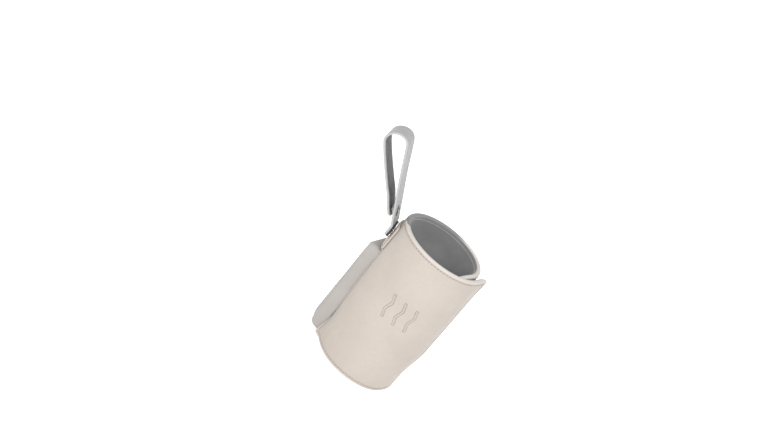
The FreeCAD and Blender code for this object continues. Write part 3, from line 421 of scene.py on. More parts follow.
def settle(points):
    """The soft sleeve's own lie: its left side drawn in towards the foot, and slow uneven waves."""
    points = np.array(points, float)
    draw = 3.4 * smooth_step(-points[..., 0], 4.0, 40.0) * (1 - smooth_step(points[..., 2], 8.0, 92.0))
    waves = 0.22 * noise_field(points, 26.0, 0.7)
    radial = points[..., :2] / np.maximum(np.linalg.norm(points[..., :2], axis=-1, keepdims=True), 1e-6)
    points[..., :2] += radial * waves[..., None]
    points[..., 0] += draw
    return points


def spiral(turn):
    """The wrap's outer face: place and outward direction at an angle, flat past the flap's turn."""
    turn = np.asarray(turn, float)
    angle = np.radians(np.minimum(turn, FLAP_TURN))
    back = (turn >= TURN) & (turn < TURN + 180)
    radius = np.where(turn < TURN, RADIUS - SHIFT, np.where(back, RADIUS, RADIUS + SHIFT))
    normal = np.stack([np.cos(angle), np.sin(angle)], -1)
    place = normal * radius[..., None] + np.where(back[..., None], 0.0, SECOND)
    along = np.stack([-np.sin(angle), np.cos(angle)], -1)
    flare = np.radians(np.maximum(turn - FLAP_TURN, 0)) * (RADIUS + SHIFT)
    return place + along * flare[..., None], normal


def wrapped(turn, height, depth):
    """A point of the wrap at some depth under its outer face. The flap's edge clings lower down."""
    turn, height, depth = np.broadcast_arrays(*(np.asarray(v, float) for v in (turn, height, depth)))
    place, normal = spiral(turn)
    cling = smooth_step(turn, 296.0, 338.0) * (1 - smooth_step(height, 16.0, 52.0))
    angle = np.radians(turn)
    closed_normal = np.stack([np.cos(angle), np.sin(angle)], -1)
    closed = SECOND + closed_normal * (RADIUS + SHIFT - 2.4)
    share = np.where(turn > 250, cling, 0.0)[..., None]
    place = place * (1 - share) + closed * share
    normal = normal * (1 - share) + closed_normal * share
    normal /= np.linalg.norm(normal, axis=-1, keepdims=True)
    squeezed = depth * (1 - 0.30 * share[..., 0])
    flat = place - normal * squeezed[..., None]
    return settle(np.concatenate([flat, height[..., None]], -1))


def spaced(length, near, step):
    """Distances from 0 to length, close together near both ends."""
    near = np.asarray(near, float)
    count = max(2, int(round((length - 2 * near[-1]) / step)))
    middle = np.linspace(near[-1], length - near[-1], count + 1)
    return np.concatenate([near[:-1], middle, (length - near[:-1])[::-1]])


def rounded(across, up, width, height, radii):
    """Pulls a rectangle's grid into round corners: radii for low left, low right, high left, high right."""
    across, up = across.copy(), up.copy()
    for index, radius in enumerate(radii):
        if radius <= 0:
            continue
        from_side = across if index % 2 == 0 else width - across
        from_end = up if index < 2 else height - up
        inside = (from_side < radius) & (from_end < radius)
        x = (radius - from_side[inside]) / radius
        y = (radius - from_end[inside]) / radius
        side = radius * (1 - x * np.sqrt(1 - y * y / 2))
        end = radius * (1 - y * np.sqrt(1 - x * x / 2))
        across[inside] = side if index % 2 == 0 else width - side
        up[inside] = end if index < 2 else height - end
    return across, up


# The back's upper hem is painted dark grey between these angles, on the far side of the opening: partly the
# grey of the lining turned over it, partly painted shade.
FAR_TURNS = (62.0, 84.0)


def slab(name, start, stop, low, high, top, bottom, made, radii=(0, 0, 0, 0), edge=2.4, step=3.0,
         seam=0.0, shape=None, open_radius=None):
    """A closed padded layer of the wrap between two angles, two heights and two depths, with round rims.
    top and bottom are depths, or functions of angle, height and distance from the rim."""
    scale = math.radians(1.0) * (open_radius or RADIUS + SHIFT)
    width, height = (stop - start) * scale, high - low
    near = [0.0, 0.07 * edge, 0.22 * edge, 0.5 * edge, edge]
    for extra in (STITCH_INSET - 0.5, STITCH_INSET, STITCH_INSET + 0.5, STITCH_INSET + 1.5, 7.0):
        if extra > near[-1] + 0.2:
            near.append(extra)
    across, up = np.meshgrid(spaced(width, near, step), spaced(height, near, step * 1.6), indexing="ij")
    rim = np.minimum(np.minimum(across, width - across), np.minimum(up, height - up))
    moved_across, moved_up = rounded(across, up, width, height, radii)
    turn = start + moved_across / scale
    z = low + moved_up
    fullness = np.sqrt(np.clip(1 - (1 - np.minimum(rim / edge, 1)) ** 2, 0, 1))
    top_depth = top(turn, z, rim) if callable(top) else np.full_like(turn, top)
    bottom_depth = bottom(turn, z, rim) if callable(bottom) else np.full_like(turn, bottom)
    middle = (top_depth + bottom_depth) / 2
    half = (bottom_depth - top_depth) / 2 * fullness
    pinch = seam * (bell(rim, STITCH_INSET, 0.45) + 0.8 * bell(rim, STITCH_INSET, 2.2))
    outer = wrapped(turn, z, middle - half + pinch)
    inner = wrapped(turn, z, middle + half)
    if shape is not None:
        outer, inner = shape(outer, turn, z, rim), shape(inner, turn, z, rim)
    # The two faces share their border, so the inner one adds only the points within it.
    upper = np.arange(turn.size).reshape(turn.shape)
    within = np.zeros(turn.shape, bool)
    within[1:-1, 1:-1] = True
    lower = upper.copy()
    lower[within] = turn.size + np.arange(np.count_nonzero(within))

    def both(values):
        values = values.reshape(*turn.shape, -1)
        return np.concatenate([values.reshape(turn.size, -1), values[within]])

    points = np.concatenate([outer.reshape(-1, 3), inner[within]])
    far = smooth_step(both(turn), *FAR_TURNS) * smooth_step(both(z), high - 8.0, high - 6.0)
    return make_object(name, points, grid_faces(upper) + grid_faces(lower.T), made,
                       {"edge": both(rim).ravel(), "far": far.ravel()}, both(np.stack([across, up], -1)))


def capsule(sides=8, rings=5):
    """A unit grain of thread along x: points and faces."""
    points = [(-1.0, 0.0, 0.0)]
    for ring in range(1, rings + 1):
        angle = math.pi * ring / (rings + 1)
        x, r = -math.cos(angle), math.sin(angle) ** 0.7
        points += [(x, r * math.cos(2 * math.pi * k / sides), r * math.sin(2 * math.pi * k / sides))
                   for k in range(sides)]
    points.append((1.0, 0.0, 0.0))
    return np.array(points), spindle_faces(rings, sides)


def stitches(name, lines, made, pitch=3.3, length=2.5, width=0.62, lift=0.05):
    """Sewn stitches. Each line is (points, normals), and a stitch lies along it at every pitch."""
    grain, grain_faces = capsule()
    points, faces = [], []
    for line, normals in lines:
        travel = travelled(line)
        count = max(1, int(travel[-1] / pitch))
        for index in range(count):
            middle = travel[-1] * (index + 0.5) / count
            ends = [np.array([np.interp(middle + s * length / 2, travel, line[:, k]) for k in range(3)])
                    for s in (-1, 1)]
            normal = np.array([np.interp(middle, travel, normals[:, k]) for k in range(3)])
            normal /= np.linalg.norm(normal)
            centre = (ends[0] + ends[1]) / 2 + normal * lift
            x = (ends[1] - ends[0]) / 2
            side = np.cross(normal, x / np.linalg.norm(x))
            base = len(points)
            for a, b, c in grain:
                points.append(centre + x * a + side * (b * width / 2) + normal * (c * width / 3))
            faces += [tuple(base + v for v in face) for face in grain_faces]
    return make_object(name, np.array(points), faces, made)


def wrap_line(turns, heights, depth):
    """A line on the wrap with its outward normals."""
    line = wrapped(turns, heights, depth)
    deeper = wrapped(turns, heights, depth + 0.5)
    normals = line - deeper
    return line, normals / np.linalg.norm(normals, axis=-1, keepdims=True)


def tube(name, line, radius, made, sides=10):
    """A round strip along a line of points, closed at both ends."""
    line = np.asarray(line, float)
    tangents = np.gradient(line, axis=0)
    tangents /= np.linalg.norm(tangents, axis=1, keepdims=True)
    helper = np.array((0.0, 0.0, 1.0)) if abs(tangents[0][2]) < 0.9 else np.array((1.0, 0.0, 0.0))
    points = []
    for place, tangent in zip(line, tangents):
        side = np.cross(tangent, helper)
        side /= np.linalg.norm(side)
        rise = np.cross(side, tangent)
        for k in range(sides):
            a = 2 * math.pi * k / sides
            points.append(place + radius * (math.cos(a) * side + math.sin(a) * rise))
    ends = [tuple(range(sides))[::-1], tuple(range(len(points) - sides, len(points)))]
    return make_object(name, np.array(points), loft_faces(len(line), sides) + ends, made)


# ---------------------------------------------------------------- the wrap

def flap_across_hinge(piece):
    """Bakes a piece of the flap's placement into its mesh."""
    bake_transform(piece)


FLAP_STARTS_OVER = 186.0


def back_top(turn, height, rim):
    """The outer face: it sinks where the flap starts to lap over it."""
    return 1.25 * smooth_step(turn, FLAP_STARTS_OVER, 190.5)


def between_hems(height):
    """0 at the wrap's upper and lower edges, and 1 between its hems."""
    return smooth_step(np.minimum(height, HEIGHT - height), 3.0, 4.5)


def back_bottom(turn, height, rim):
    """The inner face: thick at the turned hems, thinner under the lining, and skived at the flap's seam."""
    inside = np.maximum(smooth_step(rim, 4.5, 6.5), smooth_step(turn, 184.0, 190.0) * between_hems(height))
    return 4.9 - 1.45 * inside - 1.6 * smooth_step(turn, 197.5, 200.5) * between_hems(height)


back = slab("back_panel", INNER_END, BACK_END, 0.0, HEIGHT, back_top, back_bottom, mat_back,
            radii=(5, 0, 24, 0), seam=0.28, open_radius=RADIUS)
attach(back, "wrap")
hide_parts("back_cover", "back_hem_bottom", "back_hem_top", "back_hem_end", "back_padding")


def flap_bottom(turn, height, rim):
    """The inner face: thin where it laps over the back, and it thickens later between the hems."""
    inside = between_hems(height)
    later = smooth_step(turn, 200.8 + 5.0 * inside, 204.0 + 12.0 * inside)
    return 1.15 + (3.3 + 0.45 * (1 - smooth_step(rim, 3.0, 4.5))) * later


def flap_lift(points, turn, height, rim):
    """The flap's lower left corner stands off the sleeve, and its end kicks out at the top."""
    low, left = 1 - smooth_step(height, 0.0, 24.0), 1 - smooth_step(turn, FLAP_START, FLAP_START + 13)
    lift = 3.6 * low * left + 0.8 * smooth_step(height, 120.0, HEIGHT) * smooth_step(turn, 346.0, FLAP_END)
    points = points.copy()
    angle = np.radians(np.minimum(turn, FLAP_TURN))
    points[..., 0] += np.cos(angle) * lift
    points[..., 1] += np.sin(angle) * lift
    return points


flap = slab("front_flap", FLAP_START, FLAP_END, 0.0, HEIGHT, -0.12, flap_bottom, mat_flap,
            radii=(4, 5, 4, 3), seam=0.30, shape=flap_lift, step=2.6)
flap_across_hinge(flap)
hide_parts("flap_cover", "flap_padding", "flap_hem_bottom", "flap_hem_top", "flap_hem_end")


def flap_stitches():
    """Stitches near the flap's four edges."""
    inset = math.degrees(STITCH_INSET / (RADIUS + SHIFT))
    turns = np.linspace(FLAP_START + inset, FLAP_END - inset, 160)
    heights = np.linspace(STITCH_INSET + 1.5, HEIGHT - STITCH_INSET - 1.5, 120)
    seams = [(turns, height) for height in (STITCH_INSET, HEIGHT - STITCH_INSET)]
    seams += [(turn, heights) for turn in (turns[0], turns[-1])]
    lines = []
    for turn, height in seams:
        line, normals = wrap_line(turn, height, FLAP_STITCH_DEPTH)
        lines.append((flap_lift(line, turn, height, 0), normals))
    return stitches("front_flap_stitching", lines, mat_thread)


sewn = flap_stitches()
flap_across_hinge(sewn)


# The band's upper inner corner is round, and its straight upper edge starts at CORNER_END. Its outer
# stitches stop where it starts to thin for the flap.
CORNER_END = INNER_END + 34.0


def back_stitches():
    """Stitches near the band's lower, upper and inner edges, as far as the flap."""
    inset = math.degrees(STITCH_INSET / RADIUS)
    lines = []
    for first, height in ((INNER_END + inset, STITCH_INSET), (CORNER_END, HEIGHT - STITCH_INSET)):
        lines.append(wrap_line(np.linspace(first, FLAP_STARTS_OVER, 260), height, STITCH_DEPTH))
    heights = np.linspace(STITCH_INSET + 1.5, HEIGHT - 26.0, 120)
    lines.append(wrap_line(INNER_END + inset, heights, STITCH_DEPTH))
    return stitches("back_panel_stitching", lines, mat_thread)


sewn = back_stitches()
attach(sewn, "wrap")

# The two linings end a little inside the hems, and meet at the flap's seam.
LINING_INSET, LINING_LOW, LINING_HIGH = 1.6, 1.1, HEIGHT - 1.0
lining = slab("back_lining_cloth", INNER_END + LINING_INSET, 199.0, LINING_LOW, LINING_HIGH, 4.22, 5.06,
              mat_lining, radii=(4, 0, 24, 0), edge=0.42, open_radius=RADIUS - WALL)
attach(lining, "wrap")
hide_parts("back_lining")

lining = slab("flap_lining_cloth", 196.5, FLAP_END - LINING_INSET, LINING_LOW, LINING_HIGH, 4.30, 4.98,
              mat_lining, radii=(0, 4, 0, 3), edge=0.34, shape=flap_lift)
flap_across_hinge(lining)
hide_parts("flap_lining")

PIPING_HEIGHT = HEIGHT - 4.6
for name, first, last, on_flap in (("back_lining_piping", CORNER_END, 198.0, False),
                                   ("flap_lining_piping", 200.0, FLAP_END - 4.0, True)):
    turns = np.linspace(first, last, 220)
    line = wrap_line(turns, PIPING_HEIGHT, PIPING_DEPTH)[0]
    if on_flap:
        piping = tube(name, flap_lift(line, turns, PIPING_HEIGHT, 0), PIPING_RADIUS, mat_binding)
        flap_across_hinge(piping)
    else:
        piping = tube(name, line, PIPING_RADIUS, mat_binding)
        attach(piping, "wrap")


# ---------------------------------------------------------------- heater and band inside the sleeve

FILM_START, FILM_STOP = 12.0, 186.0
FILM_LOW, FILM_HIGH = (corner[2] for corner in mm_box("heating_film"))
film = slab("heating_film_sheet", FILM_START, FILM_STOP, FILM_LOW, FILM_HIGH, 3.72, 3.98, mat_film,
            radii=(3, 3, 3, 3), edge=0.3, step=4.0, open_radius=RADIUS)
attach(film, "wrap")
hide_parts("heating_film")


TRACE_START, TRACE_STOP, TRACE_STEP = 20.0, 178.0, 11.0


def trace_line():
    """The trace's path: level runs, joined at alternate ends."""
    low, high = mm_box("heating_trace")
    runs = int(round((high[2] - low[2] - 2.0) / TRACE_STEP)) + 1
    turns, heights = [], []
    for run in range(runs):
        height = low[2] + 1.0 + TRACE_STEP * run
        span = np.linspace(TRACE_START, TRACE_STOP, 90)[::-1 if run % 2 else 1]
        turns.append(span)
        heights.append(np.full(90, height))
        if run < runs - 1:
            turns.append(np.full(6, span[-1]))
            heights.append(np.linspace(height, height + TRACE_STEP, 8)[1:-1])
    return wrapped(np.concatenate(turns), np.concatenate(heights), TRACE_DEPTH)


trace = tube("heating_trace_run", trace_line(), TRACE_RADIUS, mat_trace, sides=6)
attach(trace, "wrap")
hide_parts("heating_trace")


def upright(place, y):
    """Points from their places as (x, z), and their y."""
    return np.stack([place[..., 0], y, place[..., 1]], -1)


def make_band():
    """The elastic band under the bottle: it sags a little, and its ends are sewn up inside the sleeve."""
    low, high = mm_box("base_band")
    half, thick, rise = (high[1] - low[1]) / 2, 1.2, high[2] - low[2]
    level = np.array([wrapped(turn, 6.0, 5.75)[0] for turn in (180.0, 0.0)])
    quarter = np.linspace(0, math.pi / 2, 7)
    arc = [(3.2 - 3.2 * math.cos(a), low[2] + 3.6 - 3.2 * math.sin(a)) for a in quarter]
    path = [(level[0], low[2] + rise), (level[0], low[2] + 9.0), (level[0] + 0.1, low[2] + 5.0)]
    path += [(level[0] + x, z) for x, z in arc]
    span = np.linspace(level[0] + 5, level[1] - 5, 30)
    path += [(x, low[2] + 0.4 + 0.5 * (x / 33.0) ** 2) for x in span]
    path += [(level[1] - x, z) for x, z in arc[::-1]]
    path += [(level[1] - 0.1, low[2] + 5.0), (level[1], low[2] + 9.0), (level[1], low[2] + rise)]
    path = np.array(path)
    tangent = np.gradient(path, axis=0)
    tangent /= np.linalg.norm(tangent, axis=1, keepdims=True)
    normal = np.stack([tangent[:, 1], -tangent[:, 0]], -1)
    y = np.linspace(-half, half, 61)
    free = np.minimum(1.0, (half - np.abs(y)) / 0.8)
    ribs = 0.10 * np.cos(math.pi * y) * free
    offset = thick / 2 * (0.45 + 0.55 * np.sqrt(np.clip(1 - (1 - free) ** 2, 0, 1))) + ribs
    layers = []
    for side in (1, -1):
        place = path[:, None] + normal[:, None] * (side * offset - thick / 2)[:, None]
        layers.append(upright(place, np.broadcast_to(y, place.shape[:2])))
    return two_faced("base_band_elastic", layers, mat_elastic, np.stack(np.meshgrid(y, travelled(path)), -1))


band = make_band()
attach(band, "wrap")
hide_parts("base_band")


# ---------------------------------------------------------------- the pouch

POUCH = math.radians(163.0)
POUCH_X = np.array((math.cos(POUCH), math.sin(POUCH)))
POUCH_Y = np.array((-math.sin(POUCH), math.cos(POUCH)))
POUCH_FACE, POUCH_HALF, POUCH_CORNER = 50.8, 20.0, 5.0
# The pouch's own back lies inside the sleeve's wall, at this distance from the axis.
POUCH_BACK = 39.4
POUCH_TOP = mm_box("pouch_cover")[1][2]


def from_pouch(points):
    """Points given in the pouch's own axes, in the row's frame."""
    points = np.asarray(points, float)
    flat = points[..., :1] * POUCH_X + points[..., 1:2] * POUCH_Y
    return np.concatenate([flat, points[..., 2:3]], -1)


def pouch_loop(inset, height, wall):
    """One level outline of the pouch, from the sleeve at the rear round the face to the sleeve in front."""
    half = POUCH_HALF - inset - wall
    face = POUCH_FACE - inset - wall
    radius = POUCH_CORNER - wall * 0.6
    foot = math.sqrt(POUCH_BACK ** 2 - half ** 2) + wall
    points = [(x, -half) for x in np.linspace(foot, face - radius, 14)]
    points += [(face - radius + radius * math.sin(a), -half + radius - radius * math.cos(a))
               for a in np.linspace(0, math.pi / 2, 9)[1:]]
    points += [(face, y) for y in np.linspace(-half + radius, half - radius, 26)[1:]]
    points += [(face - radius + radius * math.cos(a), half - radius + radius * math.sin(a))
               for a in np.linspace(0, math.pi / 2, 9)[1:]]
    points += [(x, half) for x in np.linspace(face - radius, foot, 14)[1:]]
    points += [(math.sqrt(POUCH_BACK ** 2 - y ** 2) + wall, y) for y in np.linspace(half, -half, 26)[1:-1]]
    points = np.array(points)
    return np.concatenate([points, np.full((len(points), 1), height)], 1)


def pouch_shell(wall, low_round, high_round):
    """The pouch's outer skin, or its inside when wall is above nothing, as points and faces."""
    loops = []
    low, high = 0.3 + wall, POUCH_TOP - wall
    for angle in np.linspace(0, math.pi / 2, 8):
        loops.append((low_round * (1 - math.sin(angle)) * 0.55, low + low_round * (1 - math.cos(angle))))
    for height in np.linspace(low + low_round, high - high_round, 46)[1:-1]:
        loops.append((0.0, height))
    for angle in np.linspace(0, math.pi / 2, 9):
        loops.append((high_round * (1 - math.cos(angle)), high - high_round * (1 - math.sin(angle))))
    rings = [pouch_loop(inset, height, wall) for inset, height in loops]
    count = len(rings[0])
    middle_low, middle_high = rings[0].mean(axis=0), rings[-1].mean(axis=0)
    caps_low = [middle_low + (rings[0] - middle_low) * share for share in (0.06, 0.35, 0.7)]
    caps_high = [middle_high + (rings[-1] - middle_high) * share for share in (0.7, 0.35, 0.06)]
    rings = caps_low + rings + caps_high
    points = np.concatenate(rings)
    ends = [tuple(range(count))[::-1], tuple(range(len(points) - count, len(points)))]
    return points, loft_faces(len(rings), count) + ends


def pouch_form(points):
    """The pouch's own lie: its corners hug the controller, and it draws in below it."""
    points = np.array(points, float)
    x, y, z = points[:, 0], points[:, 1], points[:, 2]
    low = np.clip((POUCH_TOP - 4 - z) / 42, 0, 1)
    standing = smooth_step(x, 36.0, 48.0)
    corner = smooth_step(np.abs(y), 13.5, 19.0)
    points[:, 0] = x - standing * (1.3 * low * corner + 2.4 * (1 - smooth_step(z, 2.0, 15.0)))
    points[:, 1] = y - np.sign(y) * 1.7 * low * smooth_step(np.abs(y), 12.0, 17.0)
    return points


def pouch_fullness(points):
    """The outer skin fills out between its corners, and is a little uneven."""
    points = np.array(points, float)
    up = np.clip(points[:, 2] / POUCH_TOP, 0, 1)
    side = np.clip(np.abs(points[:, 1]) / POUCH_HALF, 0, 1)
    bulge = np.sin(np.pi * up) ** 0.7
    points[:, 0] += np.where(points[:, 0] > 46, 0.55 * bulge * (1 - side ** 3), 0)
    points[:, 0] += 0.25 * noise_field(points, 15.0, 1.3) * smooth_step(points[:, 0], 38, 46)
    points[:, 1] += np.sign(points[:, 1]) * 0.3 * bulge * (side > 0.85)
    points[:, 1] += 0.22 * noise_field(points, 11.0, 4.3)
    return pouch_form(points)


def make_pouch():
    outer, outer_faces = pouch_shell(0.0, 3.6, 5.5)
    inner, inner_faces = pouch_shell(1.1, 2.8, 4.6)
    outer, inner = pouch_fullness(outer), pouch_form(inner)
    high = smooth_step(outer[:, 2], POUCH_TOP - 1.5, POUCH_TOP)
    outer[:, 2] -= high * (0.5 + 0.6 * np.cos(outer[:, 1] / 9.0) + 0.05 * (50 - outer[:, 0]))
    points = np.concatenate([outer, inner])
    faces = outer_faces + [tuple(v + len(outer) for v in face)[::-1] for face in inner_faces]
    return make_object("pouch", from_pouch(points), faces, mat_pouch_painted_shade)


def cut(piece, points, faces):
    """Cuts the solid of these points and faces out of the piece."""
    tool = make_object("cutter", points, faces, mat_black, sharp=True)
    modifier = piece.modifiers.new("cut", "BOOLEAN")
    modifier.operation = "DIFFERENCE"
    modifier.solver = "EXACT"
    modifier.object = tool
    bpy.context.view_layer.objects.active = piece
    with bpy.context.temp_override(object=piece, active_object=piece, selected_objects=[piece]):
        bpy.ops.object.modifier_apply(modifier=modifier.name)
    bpy.data.objects.remove(tool)


def prism(outline, low, high, axis):
    """A solid of an outline pushed along one of the pouch's axes."""
    points = []
    for level in (low, high):
        for first, second in outline:
            place = [first, second]
            place.insert(axis, level)
            points.append(place)
    count = len(outline)
    faces = [(k, (k + 1) % count, (k + 1) % count + count, k + count) for k in range(count)]
    faces += [tuple(range(count))[::-1], tuple(range(count, 2 * count))]
    return np.array(points, float), faces


def round_outline(half_width, half_height, radius, middle=(0.0, 0.0), sides=6):
    """A rectangle's outline with round corners."""
    points = []
    for quarter, (sx, sy) in enumerate(((1, 1), (-1, 1), (-1, -1), (1, -1))):
        for k in range(sides + 1):
            a = math.pi / 2 * (quarter + k / sides)
            points.append((middle[0] + sx * (half_width - radius) + radius * math.cos(a),
                           middle[1] + sy * (half_height - radius) + radius * math.sin(a)))
    return points


def circle_outline(radius, middle, sides=48):
    return [(middle[0] + radius * math.cos(2 * math.pi * k / sides),
             middle[1] + radius * math.sin(2 * math.pi * k / sides)) for k in range(sides)]


# The middles of the openings in the pouch, on its face and, for the charging slot, on its side.
WINDOW, BUTTON, SLOT = (0.0, 60.0), (0.0, 42.0), (46.3, 30.5)
pouch = make_pouch()
for outline, low, high, axis in ((round_outline(12.0, 8.0, 2.0, WINDOW), 48.6, 54.0, 0),
                                 (circle_outline(5.0, BUTTON), 48.6, 54.0, 0),
                                 (round_outline(3.1, 6.5, 1.2, SLOT), -24.0, -16.3, 1)):
    points, faces = prism(outline, low, high, axis)
    cut(pouch, from_pouch(points), faces)
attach(pouch, "wrap")
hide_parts("pouch_cover")


def bezel(name, hole, rim, low, high):
    """A moulded ring round an opening, flat with rounded edges. hole and rim are matching outlines."""
    profile = [(0.0, low), (0.0, high - 0.125), (0.12, high), (0.5, high + 0.06), (0.88, high),
               (1.0, high - 0.25), (1.0, low)]
    rings = []
    for share, level in profile:
        rings.append([(level, a + (c - a) * share, b + (d - b) * share)
                      for (a, b), (c, d) in zip(hole, rim)])
    points = np.array([point for ring in rings for point in ring])
    shown = make_object(name, from_pouch(points), loft_faces(len(rings), len(hole), closed=True), mat_case)
    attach(shown, "wrap")
    return shown


bezel("window_bezel", round_outline(11.7, 7.7, 1.5, WINDOW), round_outline(13.2, 9.2, 2.9, WINDOW),
      50.3, 51.25)
bezel("button_bezel", circle_outline(4.62, BUTTON), circle_outline(6.2, BUTTON), 50.3, 51.35)


def pouch_stitches():
    """Stitches round the pouch's face, a little way in from its edges."""
    low, high = 5.5, POUCH_TOP - 8.0
    outline = round_outline(POUCH_HALF - 4.5, (high - low) / 2, 5.0, (0.0, (low + high) / 2), sides=8)
    outline.append(outline[0])
    dense = []
    for (a, b), (c, d) in zip(outline, outline[1:]):
        steps = max(1, int(math.hypot(c - a, d - b) / 2))
        dense += [(a + (c - a) * k / steps, b + (d - b) * k / steps) for k in range(steps)]
    dense.append(outline[-1])
    flat = np.array(dense)
    line = pouch_fullness(np.stack([np.full(len(flat), POUCH_FACE), flat[:, 0], flat[:, 1]], -1))
    normals = from_pouch(np.tile((1.0, 0.0, 0.0), (len(line), 1)))
    return stitches("pouch_stitching", [(from_pouch(line), normals)], mat_thread, lift=0.1)


sewn = pouch_stitches()
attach(sewn, "wrap")


# ---------------------------------------------------------------- the strap

SWIVEL = np.array(JOINTS["strap_swivel"]["pos_m"]) / MM
FOLD = np.array(JOINTS["strap_swing"]["pos_m"]) / MM
LEAN = math.radians(27.2)
STRAP_UP = np.array((-math.sin(LEAN), math.cos(LEAN)))
STRAP_OUT = np.array((-math.cos(LEAN), -math.sin(LEAN)))
STRAP_WIDTH, STRAP_THICK = 25.0, 2.2
TAB_LOW = mm_box("strap_tab")[0][2]
# The loop: its front leg, its crown's radius, how many degrees the free leg closes past upright, how far the
# front leg leans inwards at its top, and the free leg's straight part, bend radius and tip.
LEG, CROWN, CLOSING = 77.5, 8.8, 14.3
LEAN_IN = 1.1
FREE_LEG, BEND, BEND_TIP = 40.76, 60.0, 14.9

# How far the free leg stands off a straight line at heights along the strap, bowed by its own spring.
BOW_AT = (5.0, 9.0, 12.0, 20.0, 35.0, 50.0, 65.0, 78.0)
BOW = (-1.0, -0.3, 0.0, 1.5, 3.2, 3.3, 3.2, 2.4)


def strap_path():
    """The strap's middle line from the tab's foot to its tip, as (x, z) points with their travel."""
    origin = np.array((FOLD[0], FOLD[2]))
    points = [np.array((FOLD[0], z)) for z in np.linspace(TAB_LOW, FOLD[2] - 2.0, 18)]
    for share in np.linspace(0.1, 0.9, 6):
        angle = LEAN * share
        points.append(origin + 2.0 * (share * 2 - 1) * np.array((-math.sin(angle * share), math.cos(angle))))
    for along in np.linspace(2.4, LEG, 60):
        points.append(origin + STRAP_UP * along - STRAP_OUT * LEAN_IN * float(smooth_step(along, 34.0, LEG)))
    centre = origin + STRAP_UP * LEG + STRAP_OUT * CROWN
    for angle in np.radians(np.linspace(0, 180 + CLOSING, 46)[1:]):
        opened = 1.75 * (1 - math.cos(angle)) - LEAN_IN
        rim = centre + CROWN * (STRAP_UP * math.sin(angle) - STRAP_OUT * math.cos(angle))
        points.append(rim + STRAP_OUT * opened)
    free = [rim]
    direction, closing = math.radians(180 + CLOSING), math.radians(CLOSING)
    for length, turned, steps in ((FREE_LEG, 0.0, 23), (closing * BEND, closing, 16), (BEND_TIP, 0.0, 11)):
        for step in range(steps):
            direction -= turned / steps
            heading = STRAP_UP * math.cos(direction) + STRAP_OUT * math.sin(direction)
            free.append(free[-1] + heading * length / steps)
    free = np.array(free[1:])
    bow = np.interp((free - origin) @ STRAP_UP, BOW_AT, BOW)
    points = np.concatenate([np.array(points), free + STRAP_OUT * bow[:, None]])
    points[1:-1] = (points[:-2] + 2 * points[1:-1] + points[2:]) / 4
    return points, travelled(points)


PATH, TRAVEL = strap_path()
FOLD_AT = FOLD[2] - TAB_LOW
CROWN_END = FOLD_AT + LEG + math.radians(180 + CLOSING) * CROWN
# The loop's inside is painted near-black, as painted shade, which starts under the free leg's tip.
LOOP_SHADE_FROM = FOLD_AT + 16.0


def along_strap(travel):
    """Places and outward directions on the strap's middle line, as (x, z)."""
    place, ahead, behind = (np.stack([np.interp(travel + step, TRAVEL, PATH[:, k]) for k in (0, 1)], -1)
                            for step in (0.0, 0.4, -0.4))
    heading = ahead - behind
    heading /= np.linalg.norm(heading, axis=-1, keepdims=True)
    return place, np.stack([-heading[..., 1], heading[..., 0]], -1)


def strap_lie(y, travel):
    """How far the strap stands off its middle line: domed across, and a little uneven along."""
    return 0.10 * (1 - (y / (STRAP_WIDTH / 2)) ** 2) + 0.10 * np.sin(travel / 9.0 + y / 17.0)


def strap_piece(name, start, stop, round_start=0.0, round_stop=0.0):
    """A length of the strap: a flat band with soft edges, its ends cut square or round."""
    tip = np.array([0, 0.1, 0.4, 0.9, 1.5, 2.3])
    lengths = np.linspace(start, stop, max(6, int((stop - start) / 1.2)) + 1)
    if round_start:
        lengths = np.concatenate([start + tip, lengths[lengths > start + 3]])
    if round_stop:
        lengths = np.concatenate([lengths[lengths < stop - 3], (stop - tip)[::-1]])
    widths = spaced(STRAP_WIDTH, [0.0, 0.12, 0.4, 0.9, 1.5, 2.3, 3.1], 1.6)
    across, travel = np.meshgrid(widths, lengths, indexing="ij")
    moved_across, moved_up = rounded(across, travel - start, STRAP_WIDTH, stop - start,
                                     (round_start, round_start, round_stop, round_stop))
    free = np.minimum(across, STRAP_WIDTH - across)
    if round_start:
        free = np.minimum(free, travel - start)
    if round_stop:
        free = np.minimum(free, stop - travel)
    y = moved_across - STRAP_WIDTH / 2
    travel = start + moved_up
    place, out = along_strap(travel)
    full = 0.30 + 0.70 * np.sqrt(np.clip(1 - (1 - np.minimum(free / 1.1, 1)) ** 2, 0, 1))
    groove = 0.16 * bell(free, 2.2, 0.35)
    offsets = [side * (STRAP_THICK / 2 * full - groove) + strap_lie(y, travel) for side in (1, -1)]
    layers = [upright(place + out * offset[..., None], y) for offset in offsets]
    # Painted shade on the loop's inside face, in from its edges and past LOOP_SHADE_FROM.
    loop_shaded = smooth_step(free, 2.4, 3.0) * smooth_step(travel, LOOP_SHADE_FROM, LOOP_SHADE_FROM + 0.8)
    painted_loop_shade = np.concatenate([loop_shaded.ravel(), np.zeros(loop_shaded.size)])
    band = two_faced(name, layers, mat_strap, np.stack([across, travel], -1),
                     {"edge": np.tile(free.ravel(), 2), "painted_loop_shade": painted_loop_shade})
    band.data.set_sharp_from_angle(angle=math.radians(50))
    return band


def on_strap(y, travel, side):
    """Points on one face of the strap, with the face's outward directions."""
    place, out = along_strap(travel)
    flat = place + out * (side * (STRAP_THICK / 2 - 0.12) + strap_lie(y, travel))[:, None]
    return upright(flat, y), upright(side * out, np.zeros(len(y)))


